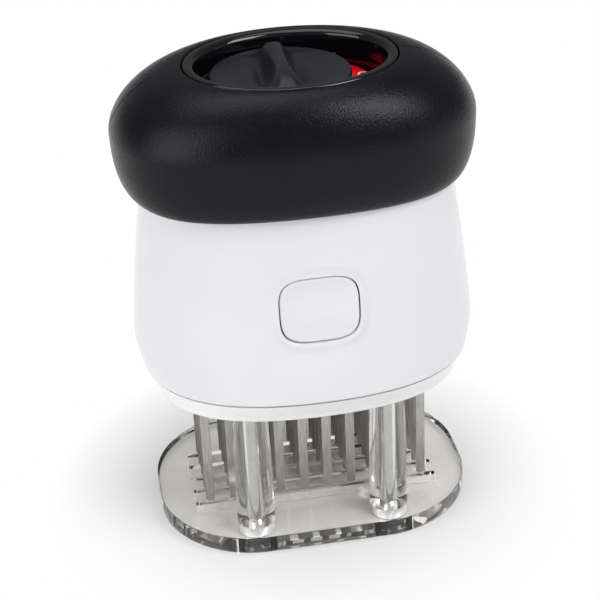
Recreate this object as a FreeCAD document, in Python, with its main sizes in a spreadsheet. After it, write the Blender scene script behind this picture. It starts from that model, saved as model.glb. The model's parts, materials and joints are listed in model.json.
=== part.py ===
import FreeCAD, Part
import math
import os
import Sketcher

# Blade meat tenderizer, millimetres, +Z up, front towards -Y.
# The origin is the middle of the footprint, on the surface that the rubber feet stand on.

os.makedirs("parts", exist_ok=True)
doc = FreeCAD.newDocument("blade_tenderizer")
sheet = doc.addObject("Spreadsheet::Sheet", "size")

SIZES = {
    # clear foot plate
    "plate_length": 104, "plate_width": 76, "plate_thickness": 6.5, "plate_corner": 32.5,
    "plate_round": 1.5, "foot_drop": 0.4,
    # guide posts
    "post_x": 22.3, "post_y": 26.4, "post_base_radius": 6.4, "post_top_radius": 5.5,
    "rod_radius": 2.5, "spigot_radius": 1.9, "rod_head_radius": 2.6, "rod_head_height": 0.8,
    "rubber_radius": 6.6, "rubber_height": 5.0, "running_gap": 0.08, "slide_gap": 0.25,
    # yoke that ties the posts together
    "yoke_lift": 11.4, "yoke_bottom": "=skirt_bottom + yoke_lift", "yoke_thickness": 3,
    "yoke_boss_radius": 4.8, "yoke_margin": 4, "nut_radius": 3.6, "nut_height": 3.2,
    # blades
    "blade_columns": 10, "blade_rows": 5, "blade_pitch": 8, "row_pitch": 7.2,
    "blade_width": 3, "blade_gauge": 0.6, "blade_tip_above_plate": 1.0, "blade_tip_round": 0.9,
    "blade_bevel": 1.6, "blade_spine": 5, "slot_gap": 0.7, "slot_overrun": 3.5,
    # skirt tray and carrier
    "blade_show": 43.1, "skirt_bottom": "=foot_drop + plate_thickness + blade_show",
    "skirt_half_x": 49.5, "skirt_half_y": 36.5, "skirt_power": 2.5, "skirt_tuck": 2.2,
    "skirt_flare_x": 0.7, "skirt_flare_y": 1.2, "skirt_height": 9,
    "tray_floor": 2.4, "tray_wall": 2, "spigot_height": 7,
    "carrier_height": 6.4, "carrier_margin": 3.2, "clamp_gauge": 1.2, "clamp_screw_radius": 1.5,
    # white housing
    "seam_level": "=skirt_bottom + skirt_height", "seam_half_x": 53.5, "seam_half_y": 42.5,
    "seam_power": 2.4, "seam_gap": 0.4, "flare_height": 8, "wide_level": "=seam_level + flare_height",
    "wide_half_x": 55.0, "wide_half_y": 41.2,
    "housing_height": 58.2, "neck_level": "=seam_level + housing_height",
    "neck_half_x": 49.0, "neck_half_y": 32.8, "neck_power": 2.7,
    "taper_power_x": 1.18, "taper_power_y": 0.92,
    "housing_wall": 2, "ceiling": 2.4,
    # soft grip
    "grip_rise": 19.8, "grip_level": "=neck_level + grip_rise",
    "grip_half_x": 56.7, "grip_half_y": 38.4, "grip_power": 2.3,
    "lower_bulge": 2.4, "upper_bulge": 1.75, "grip_skin": 2.4, "core_wall": 2, "collar_drop": 3.4,
    # well, bezel ring and dish
    "grip_height": 38.8, "rim_level": "=neck_level + grip_height",
    "rim_half_x": 33.2, "rim_half_y": 26.6, "rim_power": 2.05,
    "ring_width": 3.6, "ring_height": 4.5, "ring_gap": 0.3, "ring_round": 1.2,
    "dish_wall": 1.8, "dish_depth": 8, "dish_floor_top": "=rim_level - dish_depth",
    "dish_floor": 1.7, "window_spread": 76, "window_overlap": 3,
    # lock knob
    "knob_x": -3.3, "knob_radius": 21.9, "knob_drop": 4.2, "knob_level": "=rim_level - knob_drop",
    "knob_thickness": 3.4, "ridge_height": 4.6, "ridge_half_width": 3.4, "scoop_depth": 1.6,
    "scoop_radius": 40,
    "spindle_radius": 4, "bush_wall": 1.5, "clip_gauge": 1, "bar_length": 17, "bar_width": 4,
    "bar_height": 4,
    "bar_clearance": 0.8, "disc_radius": 30, "disc_gauge": 1.5,
    "deck_drop": 13, "deck_level": "=rim_level - deck_drop", "deck": 2.4,
    # chassis, springs and screws
    "chassis_gauge": 2.4, "spring_x": 26, "spring_radius": 6, "spring_wire": 1.2,
    "spring_turns": 9, "cup_height": 5, "cup_wall": 1.4, "screw_x": 33, "screw_y": 14,
    "screw_radius": 1.5, "screw_head_radius": 2.8, "screw_head": 1.8, "boss_radius": 4,
    # release buttons
    "button_half_x": 12.2, "button_half_z": 10.0, "button_power": 3.6,
    "button_rise": 29.5, "button_level": "=seam_level + button_rise",
    "button_gap": 0.35, "button_depth": 4.5, "button_dish": 0.9, "button_stroke": 2.5,
    "lip_width": 1.8, "lip_rise": 0.45, "latch_half_x": 7, "latch_gauge": 1.6,
    "latch_rise": 7, "latch_level": "=seam_level + latch_rise", "tooth_drop": 3,
    "bracket_y": 25, "bracket_gauge": 1.8, "bracket_half_x": 11,
    "return_spring_radius": 2.6, "return_wire": 0.5, "return_turns": 5,
}
for row, alias in enumerate(SIZES, 1):
    sheet.set(f"A{row}", alias)
    sheet.setAlias(f"B{row}", alias)
for row, value in enumerate(SIZES.values(), 1):
    sheet.set(f"B{row}", str(value))
doc.recompute()


class Size:
    """A length that carries its spreadsheet expression and its present value."""

    def __init__(self, text, number):
        self.text = text
        self.number = number

    def joined(self, sign, other, number):
        text = other.text if isinstance(other, Size) else repr(float(other))
        return Size(f"({self.text} {sign} {text})", number)

    def __add__(self, other):
        return self.joined("+", other, self.number + number_of(other))

    def __sub__(self, other):
        return self.joined("-", other, self.number - number_of(other))

    def __mul__(self, other):
        return self.joined("*", other, self.number * number_of(other))

    def __truediv__(self, other):
        return self.joined("/", other, self.number / number_of(other))

    def __neg__(self):
        return self * -1


def number_of(value):
    return value.number if isinstance(value, Size) else float(value)


def size(alias):
    return Size(f"size.{alias}", float(sheet.get(alias)))


def mm(alias):
    return size(alias).number


def bind(owner, path, value):
    """Tie a property to the sheet where its value has an expression."""
    if isinstance(value, Size):
        owner.setExpression(path, value.text)


nodes = []


def new_body(label):
    body = doc.addObject("PartDesign::Body", label)
    body.Label = label
    nodes.append(body)
    return body


def place(body, x=0, y=0, z=0):
    for axis, value in zip("xyz", (x, y, z)):
        bind(body, f"Placement.Base.{axis}", value)
    body.Placement.Base = FreeCAD.Vector(number_of(x), number_of(y), number_of(z))
    return body


def plane(body, role):
    return next(part for part in body.Origin.OriginFeatures if part.Role == role)


def new_sketch(body, role="XY_Plane", lift=None):
    sketch = body.newObject("Sketcher::SketchObject", f"{body.Label}_sketch")
    sketch.AttachmentSupport = [(plane(body, role), "")]
    sketch.MapMode = "FlatFace"
    if lift is not None:
        sketch.AttachmentOffset.Base.z = number_of(lift)
        bind(sketch, "AttachmentOffset.Base.z", lift)
    return sketch


def fix_point(sketch, edge, end, x, y):
    """Hold one end of an edge at x, y measured from the sketch's origin."""
    for kind, value, axis in (("DistanceX", x, -2), ("DistanceY", y, -1)):
        if number_of(value) == 0:
            sketch.addConstraint(Sketcher.Constraint("PointOnObject", edge, end, axis))
        else:
            held = sketch.addConstraint(
                Sketcher.Constraint(kind, -1, 1, edge, end, number_of(value)))
            bind(sketch, f"Constraints[{held}]", value)


def polygon(sketch, points):
    """A closed outline of straight lines through points that follow the sheet."""
    first = sketch.GeometryCount
    count = len(points)
    for spot, (x, y) in enumerate(points):
        x_next, y_next = points[(spot + 1) % count]
        sketch.addGeometry(Part.LineSegment(
            FreeCAD.Vector(number_of(x), number_of(y), 0),
            FreeCAD.Vector(number_of(x_next), number_of(y_next), 0)))
    for spot in range(count):
        after = first + (spot + 1) % count
        sketch.addConstraint(Sketcher.Constraint("Coincident", first + spot, 2, after, 1))
    for spot, (x, y) in enumerate(points):
        fix_point(sketch, first + spot, 1, x, y)


def rectangle(sketch, x_low, y_low, x_high, y_high):
    polygon(sketch, [(x_low, y_low), (x_high, y_low), (x_high, y_high), (x_low, y_high)])


def circle(sketch, x, y, radius):
    centre = FreeCAD.Vector(number_of(x), number_of(y), 0)
    up = FreeCAD.Vector(0, 0, 1)
    edge = sketch.addGeometry(Part.Circle(centre, up, number_of(radius)))
    held = sketch.addConstraint(Sketcher.Constraint("Radius", edge, number_of(radius)))
    bind(sketch, f"Constraints[{held}]", radius)
    fix_point(sketch, edge, 3, x, y)


def pad(body, sketch, length):
    feature = body.newObject("PartDesign::Pad", f"{body.Label}_pad")
    feature.Profile = sketch
    feature.Length = number_of(length)
    bind(feature, "Length", length)
    return feature


def pocket(body, sketch, depth=None):
    """Cut upwards by depth, or right through where no depth is given."""
    feature = body.newObject("PartDesign::Pocket", f"{body.Label}_pocket")
    feature.Profile = sketch
    feature.Reversed = True
    if depth is None:
        feature.Type = 1
        feature.Midplane = True
    else:
        feature.Length = number_of(depth)
        bind(feature, "Length", depth)
    return feature


def fillet_edges(body, base, radius, wanted):
    """Round the edges of the base feature that the test picks."""
    doc.recompute()
    names = [f"Edge{spot}" for spot, edge in enumerate(base.Shape.Edges, 1) if wanted(edge)]
    feature = body.newObject("PartDesign::Fillet", f"{body.Label}_round")
    feature.Base = (base, names)
    feature.Radius = number_of(radius)
    bind(feature, "Radius", radius)
    return feature


def turned(label, profile, x=0, y=0):
    """A piece turned on a lathe: its half section is a list of radius and height."""
    body = new_body(label)
    sketch = new_sketch(body, "XZ_Plane")
    polygon(sketch, profile)
    turn = body.newObject("PartDesign::Revolution", f"{label}_turn")
    turn.Profile = sketch
    turn.ReferenceAxis = (sketch, ["V_Axis"])
    turn.Angle = 360
    return place(body, x, y)


def shaped(label, shape):
    """A node whose surface is worked out with Part's own functions."""
    feature = doc.addObject("Part::Feature", label)
    feature.Label = label
    feature.Shape = shape
    feature.Placement = shape.Placement
    nodes.append(feature)
    return feature


CORNERS = {"front_left": (-1, -1), "front_right": (1, -1), "rear_left": (-1, 1), "rear_right": (1, 1)}


def handle_of(power):
    """How far a quarter arc's handles reach, so that it follows |x|^power + |y|^power = 1."""
    return (8 * 0.5 ** (1 / power) - 4) / 3


def quarter_arcs(half_across, half_up, power, spot):
    """Four arcs round an oval; spot turns the two flat coordinates into a point."""
    reach = handle_of(power)
    corners = [(1, 0), (0, 1), (-1, 0), (0, -1)]
    arcs = []
    for step in range(4):
        (x_from, y_from), (x_to, y_to) = corners[step], corners[(step + 1) % 4]
        shape = [(x_from, y_from), (x_from + reach * x_to, y_from + reach * y_to),
                 (x_to + reach * x_from, y_to + reach * y_from), (x_to, y_to)]
        arc = Part.BezierCurve()
        arc.setPoles([spot(half_across * x, half_up * y) for x, y in shape])
        arcs.append(arc.toShape())
    return Part.Wire(arcs)


def outline(half_x, half_y, power, level, centre_x=0.0):
    """A level rounded oval wire."""
    return quarter_arcs(half_x, half_y, power,
                        lambda x, y: FreeCAD.Vector(centre_x + x, y, level))


def prism(half_x, half_y, power, low, high):
    """An upright oval block between two levels."""
    face = Part.Face(outline(half_x, half_y, power, low))
    return face.extrude(FreeCAD.Vector(0, 0, high - low))


def loft(sections, ruled=False):
    """A solid through sections given as level, half_x, half_y, power; hidden rooms are ruled."""
    wires = [outline(half_x, half_y, power, level) for level, half_x, half_y, power in sections]
    return Part.makeLoft(wires, True, ruled)


def cylinder(radius, low, high, x=0.0, y=0.0):
    return Part.makeCylinder(radius, high - low, FreeCAD.Vector(x, y, low))


def block(x_low, x_high, y_low, y_high, low, high):
    corner = FreeCAD.Vector(x_low, y_low, low)
    return Part.makeBox(x_high - x_low, y_high - y_low, high - low, corner)


# levels that several pieces share
plate_bottom = size("foot_drop")
plate_top = plate_bottom + size("plate_thickness")
web_bottom = size("rubber_height")
yoke_top = size("yoke_bottom") + size("yoke_thickness")
tray_top = size("skirt_bottom") + size("tray_floor")
carrier_top = tray_top + size("carrier_height")
clamp_top = carrier_top + size("clamp_gauge")
blade_tip = plate_top + size("blade_tip_above_plate")
row_y = [size("row_pitch") * (row - (mm("blade_rows") - 1) / 2) for row in range(int(mm("blade_rows")))]
slot_half = size("blade_pitch") * ((mm("blade_columns") - 1) / 2) + size("blade_width") / 2 \
    + size("slot_overrun")


def make_foot_plate():
    """Clear acrylic plate with a long slot under each row of blades."""
    body = new_body("foot_plate")
    base = new_sketch(body, lift=plate_bottom)
    half_x, half_y = size("plate_length") / 2, size("plate_width") / 2
    rectangle(base, -half_x, -half_y, half_x, half_y)
    slab = pad(body, base, size("plate_thickness"))
    rounded = fillet_edges(body, slab, size("plate_corner"), lambda edge: edge.BoundBox.ZLength > 1)
    low = plate_bottom.number + 0.01
    fillet_edges(body, rounded, size("plate_round"), lambda edge: edge.BoundBox.ZMax < low)
    slots = new_sketch(body, lift=plate_bottom)
    half_slot = size("blade_gauge") / 2 + size("slot_gap")
    for y in row_y:
        rectangle(slots, -slot_half, y - half_slot, slot_half, y + half_slot)
    pocket(body, slots)
    spigots = new_sketch(body, lift=plate_bottom)
    recesses = new_sketch(body, lift=plate_bottom)
    for side_x, side_y in CORNERS.values():
        spot = (size("post_x") * side_x, size("post_y") * side_y)
        circle(spigots, *spot, size("spigot_radius") + size("running_gap"))
        circle(recesses, *spot, size("rubber_radius") + size("running_gap"))
    pocket(body, spigots)
    pocket(body, recesses, web_bottom - plate_bottom)


def make_posts():
    """Clear drafted sleeves round polished rods, each over a rubber foot."""
    for corner, (side_x, side_y) in CORNERS.items():
        x, y = size("post_x") * side_x, size("post_y") * side_y
        bore = size("rod_radius") + size("running_gap")
        turned(f"post_sleeve_{corner}", [
            (bore, plate_top), (size("post_base_radius"), plate_top),
            (size("post_top_radius"), size("yoke_bottom")), (bore, size("yoke_bottom"))], x, y)
        head = size("rod_head_radius")
        head_low = plate_bottom + size("rod_head_height")
        head_high = head_low + size("rod_head_height")
        turned(f"post_rod_{corner}", [
            (Size("0", 0), head_low), (head, head_low), (head, head_high),
            (size("spigot_radius"), head_high), (size("spigot_radius"), plate_top),
            (size("rod_radius"), plate_top), (size("rod_radius"), yoke_top + 2),
            (Size("0", 0), yoke_top + 2)], x, y)
        ring_bore = size("spigot_radius") + size("running_gap")
        head_bore = head + size("running_gap")
        turned(f"rubber_foot_{corner}", [
            (head_bore, Size("0", 0)), (size("rubber_radius"), Size("0", 0)),
            (size("rubber_radius"), web_bottom), (ring_bore, web_bottom),
            (ring_bore, head_high + size("running_gap")),
            (head_bore, head_high + size("running_gap"))], x, y)
        turned(f"post_nut_{corner}", [
            (bore, yoke_top), (size("nut_radius"), yoke_top),
            (size("nut_radius"), yoke_top + size("nut_height")),
            (bore, yoke_top + size("nut_height"))], x, y)


def make_yoke():
    """Steel frame on top of the posts, with the keyhole that the lock bar drops through."""
    low, high = mm("yoke_bottom"), yoke_top.number
    half_x, half_y = mm("post_x"), mm("post_y")
    boss = mm("yoke_boss_radius")
    waist = mm("bar_length") / 2 + mm("yoke_margin")
    seat = mm("spring_x") + mm("spring_radius") + 1
    shape = block(-seat, seat, -waist, waist, low, high)
    for side_x, side_y in CORNERS.values():
        shape = shape.fuse(block(side_x * half_x - boss, side_x * half_x + boss,
                                 min(0, side_y * half_y), max(0, side_y * half_y), low, high))
        shape = shape.fuse(cylinder(boss, low, high, side_x * half_x, side_y * half_y))
    for side in (-1, 1):
        spigot = mm("spring_radius") - mm("spring_wire")
        shape = shape.fuse(cylinder(spigot, high, high + 3, side * mm("spring_x")))
    for side_x, side_y in CORNERS.values():
        bore = mm("rod_radius") + mm("running_gap")
        shape = shape.cut(cylinder(bore, low - 1, high + 1, side_x * half_x, side_y * half_y))
    gap = 2 * mm("slide_gap")
    shape = shape.cut(cylinder(mm("spindle_radius") + gap, low - 1, high + 1, mm("knob_x")))
    bar_x, bar_y = mm("bar_width") / 2 + gap, mm("bar_length") / 2 + gap
    shape = shape.cut(block(mm("knob_x") - bar_x, mm("knob_x") + bar_x, -bar_y, bar_y,
                            low - 1, high + 1))
    shaped("post_yoke", shape.removeSplitter())


def make_blades():
    """Each row is one strip of stainless sheet, stamped into ten blades on a spine."""
    half = size("blade_width") / 2
    for number, y in enumerate(row_y, 1):
        body = new_body(f"blade_row_{number}")
        spine = new_sketch(body, "XZ_Plane", lift=-(size("blade_gauge") / 2))
        half_spine = size("blade_pitch") * ((mm("blade_columns") - 1) / 2) + half
        spine_low = carrier_top - size("blade_spine")
        rectangle(spine, -half_spine, spine_low, half_spine, carrier_top)
        pad(body, spine, size("blade_gauge"))
        teeth = new_sketch(body, "XZ_Plane", lift=-(size("blade_gauge") / 2))
        corner = size("blade_tip_round")
        for column in range(int(mm("blade_columns"))):
            x = size("blade_pitch") * (column - (mm("blade_columns") - 1) / 2)
            polygon(teeth, [
                (x - half + corner, blade_tip), (x + half - corner, blade_tip),
                (x + half, blade_tip + corner), (x + half, spine_low + 0.5),
                (x - half, spine_low + 0.5), (x - half, blade_tip + corner)])
        pad(body, teeth, size("blade_gauge"))
        edge = new_sketch(body, "YZ_Plane")
        face = size("blade_gauge") / 2
        polygon(edge, [(face * -0.6, blade_tip - 1), (face + 1, blade_tip - 1),
                       (face + 1, blade_tip + size("blade_bevel")),
                       (face, blade_tip + size("blade_bevel")), (face * -0.6, blade_tip)])
        pocket(body, edge)
        place(body, 0, y)


def make_carrier():
    """Block that holds the spines of the blade strips, with a steel plate screwed on top."""
    half_x = slot_half + size("carrier_margin") / 2
    half_y = row_y[-1] + size("carrier_margin")
    hold = size("blade_gauge") / 2 + size("running_gap")
    body = new_body("blade_carrier")
    base = new_sketch(body, lift=tray_top)
    rectangle(base, -half_x, -half_y, half_x, half_y)
    pad(body, base, size("carrier_height"))
    slots = new_sketch(body, lift=tray_top)
    slot_x = size("blade_pitch") * ((mm("blade_columns") - 1) / 2) + half_hold()
    for y in row_y:
        rectangle(slots, -slot_x, y - hold, slot_x, y + hold)
    pocket(body, slots)
    holes = new_sketch(body, lift=tray_top)
    for x, y in clamp_spots():
        circle(holes, x, y, size("clamp_screw_radius") + size("running_gap"))
    pocket(body, holes)

    clamp = new_body("clamp_plate")
    base = new_sketch(clamp, lift=carrier_top)
    rectangle(base, -half_x, -half_y, half_x, half_y)
    pad(clamp, base, size("clamp_gauge"))
    holes = new_sketch(clamp, lift=carrier_top)
    for x, y in clamp_spots():
        circle(holes, x, y, size("clamp_screw_radius") + size("running_gap"))
    pocket(clamp, holes)

    screws = []
    for x, y in clamp_spots():
        spot = (number_of(x), number_of(y))
        shank = cylinder(mm("clamp_screw_radius"), tray_top.number, clamp_top.number, *spot)
        head = cylinder(mm("clamp_screw_radius") * 1.8, clamp_top.number, clamp_top.number + 1, *spot)
        screws.append(shank.fuse(head).removeSplitter())
    shaped("clamp_screws", Part.makeCompound(screws))


def half_hold():
    return size("blade_width") / 2 + size("running_gap")


def clamp_spots():
    """Screws between the rows, near the two ends of the carrier."""
    x = slot_half - size("blade_width")
    return [(x * side, size("row_pitch") * (row / 2)) for side in (-1, 1) for row in (-3, 3)]


def skirt_sections(inset=0.0):
    """The tray's outside, from its flat bottom to the seam, or the same moved inwards."""
    bottom = mm("skirt_bottom")
    top = mm("seam_level") - mm("seam_gap")
    tuck = mm("skirt_tuck")
    turn = 0.3
    return [(bottom, mm("skirt_half_x") - tuck - inset, mm("skirt_half_y") - tuck - inset,
             mm("skirt_power")),
            (bottom + tuck * turn, mm("skirt_half_x") - tuck * turn - inset,
             mm("skirt_half_y") - tuck * turn - inset, mm("skirt_power")),
            (bottom + tuck, mm("skirt_half_x") + mm("skirt_flare_x") - inset,
             mm("skirt_half_y") + mm("skirt_flare_y") - inset, mm("skirt_power")),
            (top, mm("seam_half_x") - 0.5 - inset, mm("seam_half_y") - 0.6 - inset,
             mm("seam_power"))]


def spigot_half():
    """The tray's upstand fits the narrowest room that the housing's mouth leaves it."""
    low = room_inside(mm("seam_level"))
    high = room_inside(mm("seam_level") + mm("spigot_height"))
    return min(low[0], high[0]), min(low[1], high[1])


def make_skirt():
    """White tray that closes the housing below, with slots for blades and bores for posts."""
    floor = tray_top.number
    outer = loft(skirt_sections())
    half_x, half_y = spigot_half()
    top = mm("seam_level") + mm("spigot_height")
    wall = mm("tray_wall")
    upstand = prism(half_x, half_y, mm("seam_power"), mm("seam_level") - 3, top)
    hollow_x, hollow_y = half_x - wall, half_y - wall
    hollow = loft([(floor, mm("skirt_half_x") - wall - 1, mm("skirt_half_y") - wall - 1,
                    mm("skirt_power")),
                   (mm("seam_level") - 3, hollow_x, hollow_y, mm("seam_power"))], ruled=True)
    hollow = hollow.fuse(prism(hollow_x, hollow_y, mm("seam_power"), mm("seam_level") - 3, top + 1))
    shape = outer.fuse(upstand).cut(hollow)
    half_slot = mm("blade_gauge") / 2 + mm("slot_gap")
    low = mm("skirt_bottom") - 1
    for y in row_y:
        shape = shape.cut(block(-slot_half.number, slot_half.number,
                                y.number - half_slot, y.number + half_slot, low, floor + 1))
    bore = mm("post_base_radius")
    for side_x, side_y in CORNERS.values():
        shape = shape.cut(cylinder(bore + mm("slide_gap"), low, top + 1,
                                   side_x * mm("post_x"), side_y * mm("post_y")))
    catch = mm("latch_half_x") + 1
    tooth_low, tooth_high = tooth_levels()
    play = mm("slide_gap")
    for side in (-1, 1):
        y_low, y_high = sorted((side * (half_y - wall - 1), side * (half_y + 1)))
        shape = shape.cut(block(-catch, catch, y_low, y_high, tooth_low - play, tooth_high + play))
    shaped("skirt_tray", shape.removeSplitter())


def tooth_levels():
    """Underside and top of the latch teeth, which the tray's catch windows follow."""
    low = mm("latch_level") - mm("tooth_drop")
    return low, low + mm("latch_gauge")


def housing_sections(inset=0.0):
    """The white housing flares downwards to the seam and stands widest just above it."""
    seam, wide, neck = mm("seam_level"), mm("wide_level"), mm("neck_level")
    rise = neck - wide
    span_x, span_y = mm("wide_half_x") - mm("neck_half_x"), mm("wide_half_y") - mm("neck_half_y")
    span_n = mm("neck_power") - mm("seam_power")
    sections = [(seam, mm("seam_half_x"), mm("seam_half_y"), mm("seam_power"))]
    for part in (0.0, 0.22, 0.45, 0.72, 1.0):
        ease_x = part ** mm("taper_power_x")
        ease_y = part ** mm("taper_power_y")
        sections.append((wide + rise * part, mm("wide_half_x") - span_x * ease_x,
                         mm("wide_half_y") - span_y * ease_y, mm("seam_power") + span_n * part))
    return [(level, half_x - inset, half_y - inset, power)
            for level, half_x, half_y, power in sections]


def button_outline(grow=0.0):
    """The button's rounded square outline, in the upright plane through the middle."""
    level = mm("button_level")
    wire = quarter_arcs(mm("button_half_x") + grow, mm("button_half_z") + grow,
                        mm("button_power"), lambda x, z: FreeCAD.Vector(x, 0, level + z))
    return Part.Face(wire)


def button_prism(side, grow, y_near, y_far):
    face = button_outline(grow)
    face.translate(FreeCAD.Vector(0, side * y_near, 0))
    return face.extrude(FreeCAD.Vector(0, side * (y_far - y_near), 0))


def make_housing():
    """Gloss white shell with a closed top, an open foot and a window for each button."""
    wall = mm("housing_wall")
    outer = loft(housing_sections())
    inner_top = mm("neck_level") - mm("ceiling")
    inner = loft(housing_sections(wall), ruled=True)
    inner = inner.cut(block(-99, 99, -99, 99, inner_top, inner_top + 99))
    shape = outer.cut(inner)
    lip_skin = loft(housing_sections(-mm("lip_rise")))
    for side in (-1, 1):
        collar = button_prism(side, mm("lip_width"), 20, 60).common(lip_skin)
        shape = shape.fuse(collar.cut(inner))
    for side in (-1, 1):
        shape = shape.cut(button_prism(side, mm("button_gap"), 20, 60))
    low = inner_top - 1
    high = mm("neck_level") + 1
    bore = mm("spindle_radius") + mm("bush_wall") + mm("running_gap")
    shape = shape.cut(cylinder(bore, low, high, mm("knob_x")))
    for side_x, side_y in CORNERS.values():
        shape = shape.cut(cylinder(mm("screw_radius") + mm("running_gap"), low, high,
                                   side_x * mm("screw_x"), side_y * mm("screw_y")))
    shaped("housing", shape.removeSplitter())


def room_inside(level):
    """The room inside the housing at a level, less a sliding gap."""
    sections = housing_sections(mm("housing_wall") + mm("slide_gap"))
    for (low, x_low, y_low, n_low), (high, x_high, y_high, n_high) in zip(sections, sections[1:]):
        if low <= level <= high:
            part = (level - low) / (high - low)
            return (x_low + (x_high - x_low) * part, y_low + (y_high - y_low) * part,
                    n_low + (n_high - n_low) * part)
    raise ValueError("level outside the housing")


def make_chassis():
    """Moulded plate under the housing's ceiling: spring cups, bush seat and screw holes."""
    top = mm("neck_level") - mm("ceiling")
    low = top - mm("chassis_gauge")
    half_x, half_y, power = room_inside(top)
    shape = prism(half_x, half_y, power, low, top)
    cup = mm("spring_radius") + mm("spring_wire") / 2 + mm("slide_gap")
    for side in (-1, 1):
        rim = cylinder(cup + mm("cup_wall"), low - mm("cup_height"), low, side * mm("spring_x"))
        shape = shape.fuse(rim)
        shape = shape.cut(cylinder(cup, low - mm("cup_height") - 1, low, side * mm("spring_x")))
    bush = mm("spindle_radius") + mm("bush_wall") + mm("running_gap")
    boss = bush + mm("bush_wall")
    shape = shape.fuse(cylinder(boss, low - mm("cup_height"), low, mm("knob_x")))
    for side in (-1, 1):
        inner, outer = mm("bracket_y"), mm("bracket_y") + mm("bracket_gauge")
        y_low, y_high = sorted((side * inner, side * outer))
        level = mm("button_level") - mm("button_half_z") + 2
        shape = shape.fuse(block(-mm("bracket_half_x"), mm("bracket_half_x"),
                                 y_low, y_high, level, low + 1))
    shape = shape.cut(cylinder(bush, low - mm("cup_height") - 1, top + 1, mm("knob_x")))
    for side_x, side_y in CORNERS.values():
        shape = shape.cut(cylinder(mm("screw_radius") + mm("running_gap"), low - 1, top + 1,
                                   side_x * mm("screw_x"), side_y * mm("screw_y")))
    shaped("chassis_plate", shape.removeSplitter())

    screws = []
    for side_x, side_y in CORNERS.values():
        spot = (side_x * mm("screw_x"), side_y * mm("screw_y"))
        shank = cylinder(mm("screw_radius"), low, mm("neck_level") + 12, *spot)
        head = cylinder(mm("screw_head_radius"), low - mm("screw_head"), low, *spot)
        screws.append(shank.fuse(head).removeSplitter())
    shaped("chassis_screws", Part.makeCompound(screws))


def grip_sections(inset=0.0, steps=4):
    """The grip's ring-shaped swell: two quarter ovals, one below its widest level, one above."""
    low, wide, top = mm("neck_level"), mm("grip_level"), mm("rim_level") - inset
    quarter = math.pi / 2
    sections = []
    for step in range(steps + 1):
        turn = quarter * step / steps
        across = math.sin(turn) ** (2 / mm("lower_bulge"))
        down = max(math.cos(turn), 0) ** (2 / mm("lower_bulge")) if step < steps else 0
        sections.append((wide - (wide - low) * down,
                         mm("neck_half_x") + (mm("grip_half_x") - mm("neck_half_x")) * across - inset,
                         mm("neck_half_y") + (mm("grip_half_y") - mm("neck_half_y")) * across - inset,
                         mm("neck_power") + (mm("grip_power") - mm("neck_power")) * across))
    for step in range(1, steps + 1):
        turn = quarter * step / steps
        up = math.sin(turn) ** (2 / mm("upper_bulge"))
        keep = max(math.cos(turn), 0) ** (2 / mm("upper_bulge")) if step < steps else 0
        sections.append((wide + (top - wide) * up,
                         mm("rim_half_x") + (mm("grip_half_x") - inset - mm("rim_half_x")) * keep,
                         mm("rim_half_y") + (mm("grip_half_y") - inset - mm("rim_half_y")) * keep,
                         mm("rim_power") + (mm("grip_power") - mm("rim_power")) * keep))
    return sections


def make_grip():
    """Soft black cover moulded over a stiff core that carries the well and the housing."""
    low, rim = mm("neck_level"), mm("rim_level")
    skin, gap = mm("grip_skin"), mm("running_gap")
    well = prism(mm("rim_half_x"), mm("rim_half_y"), mm("rim_power"), low - 1, rim + 5)
    neck_x, neck_y = mm("neck_half_x") - skin, mm("neck_half_y") - skin
    mouth = prism(neck_x, neck_y, mm("neck_power"), low - 1, low + 1)
    room = loft(grip_sections(skin), ruled=True)
    cover = loft(grip_sections(steps=3)).cut(room).cut(well).cut(mouth)
    shaped("grip_cover", cover.removeSplitter())

    deck, deck_low = mm("deck_level"), mm("deck_level") - mm("deck")
    wall = mm("core_wall")
    shape = prism(neck_x - gap, neck_y - gap, mm("neck_power"), low, deck)
    shape = shape.cut(prism(neck_x - gap - wall, neck_y - gap - wall, mm("neck_power"),
                            low + wall, deck_low))
    half_x, half_y, power = grip_room(deck)
    flange = prism(half_x, half_y, power, deck_low, deck)
    shape = shape.fuse(flange)
    for side_x, side_y in CORNERS.values():
        shape = shape.fuse(cylinder(mm("boss_radius"), low + 0.5, deck_low + 0.5,
                                    side_x * mm("screw_x"), side_y * mm("screw_y")))
    ledge_top = rim - mm("ring_height") - 2
    outer_x, outer_y = mm("rim_half_x") + wall, mm("rim_half_y") + wall
    collar = prism(outer_x, outer_y, mm("rim_power"), deck, rim - mm("collar_drop"))
    seat_x = mm("rim_half_x") - mm("ring_width") + mm("dish_wall") + 2 * gap
    seat_y = mm("rim_half_y") - mm("ring_width") + mm("dish_wall") + 2 * gap
    collar = collar.cut(prism(seat_x, seat_y, mm("rim_power"), deck - 1, rim))
    collar = collar.cut(prism(mm("rim_half_x") - 0.1, mm("rim_half_y") - 0.1, mm("rim_power"),
                              ledge_top, rim))
    sweep = mm("disc_radius") + 2 * mm("slide_gap")
    collar = collar.cut(cylinder(sweep, deck, ledge_top - 1.9, mm("knob_x")))
    shape = shape.fuse(collar)
    bore = mm("spindle_radius") + mm("slide_gap")
    shape = shape.cut(cylinder(bore, low - 1, deck + 1, mm("knob_x")))
    for side_x, side_y in CORNERS.values():
        shape = shape.cut(cylinder(mm("screw_radius") + gap, low - 1, low + 13,
                                   side_x * mm("screw_x"), side_y * mm("screw_y")))
    shaped("grip_core", shape.removeSplitter())


def grip_room(level):
    """The room inside the soft cover at a level, less a small gap."""
    sections = grip_sections(mm("grip_skin") + 2 * mm("running_gap"))
    for (low, x_low, y_low, n_low), (high, x_high, y_high, n_high) in zip(sections, sections[1:]):
        if low <= level <= high:
            part = (level - low) / (high - low)
            return (x_low + (x_high - x_low) * part, y_low + (y_high - y_low) * part,
                    n_low + (n_high - n_low) * part)
    raise ValueError("level outside the grip")


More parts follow.
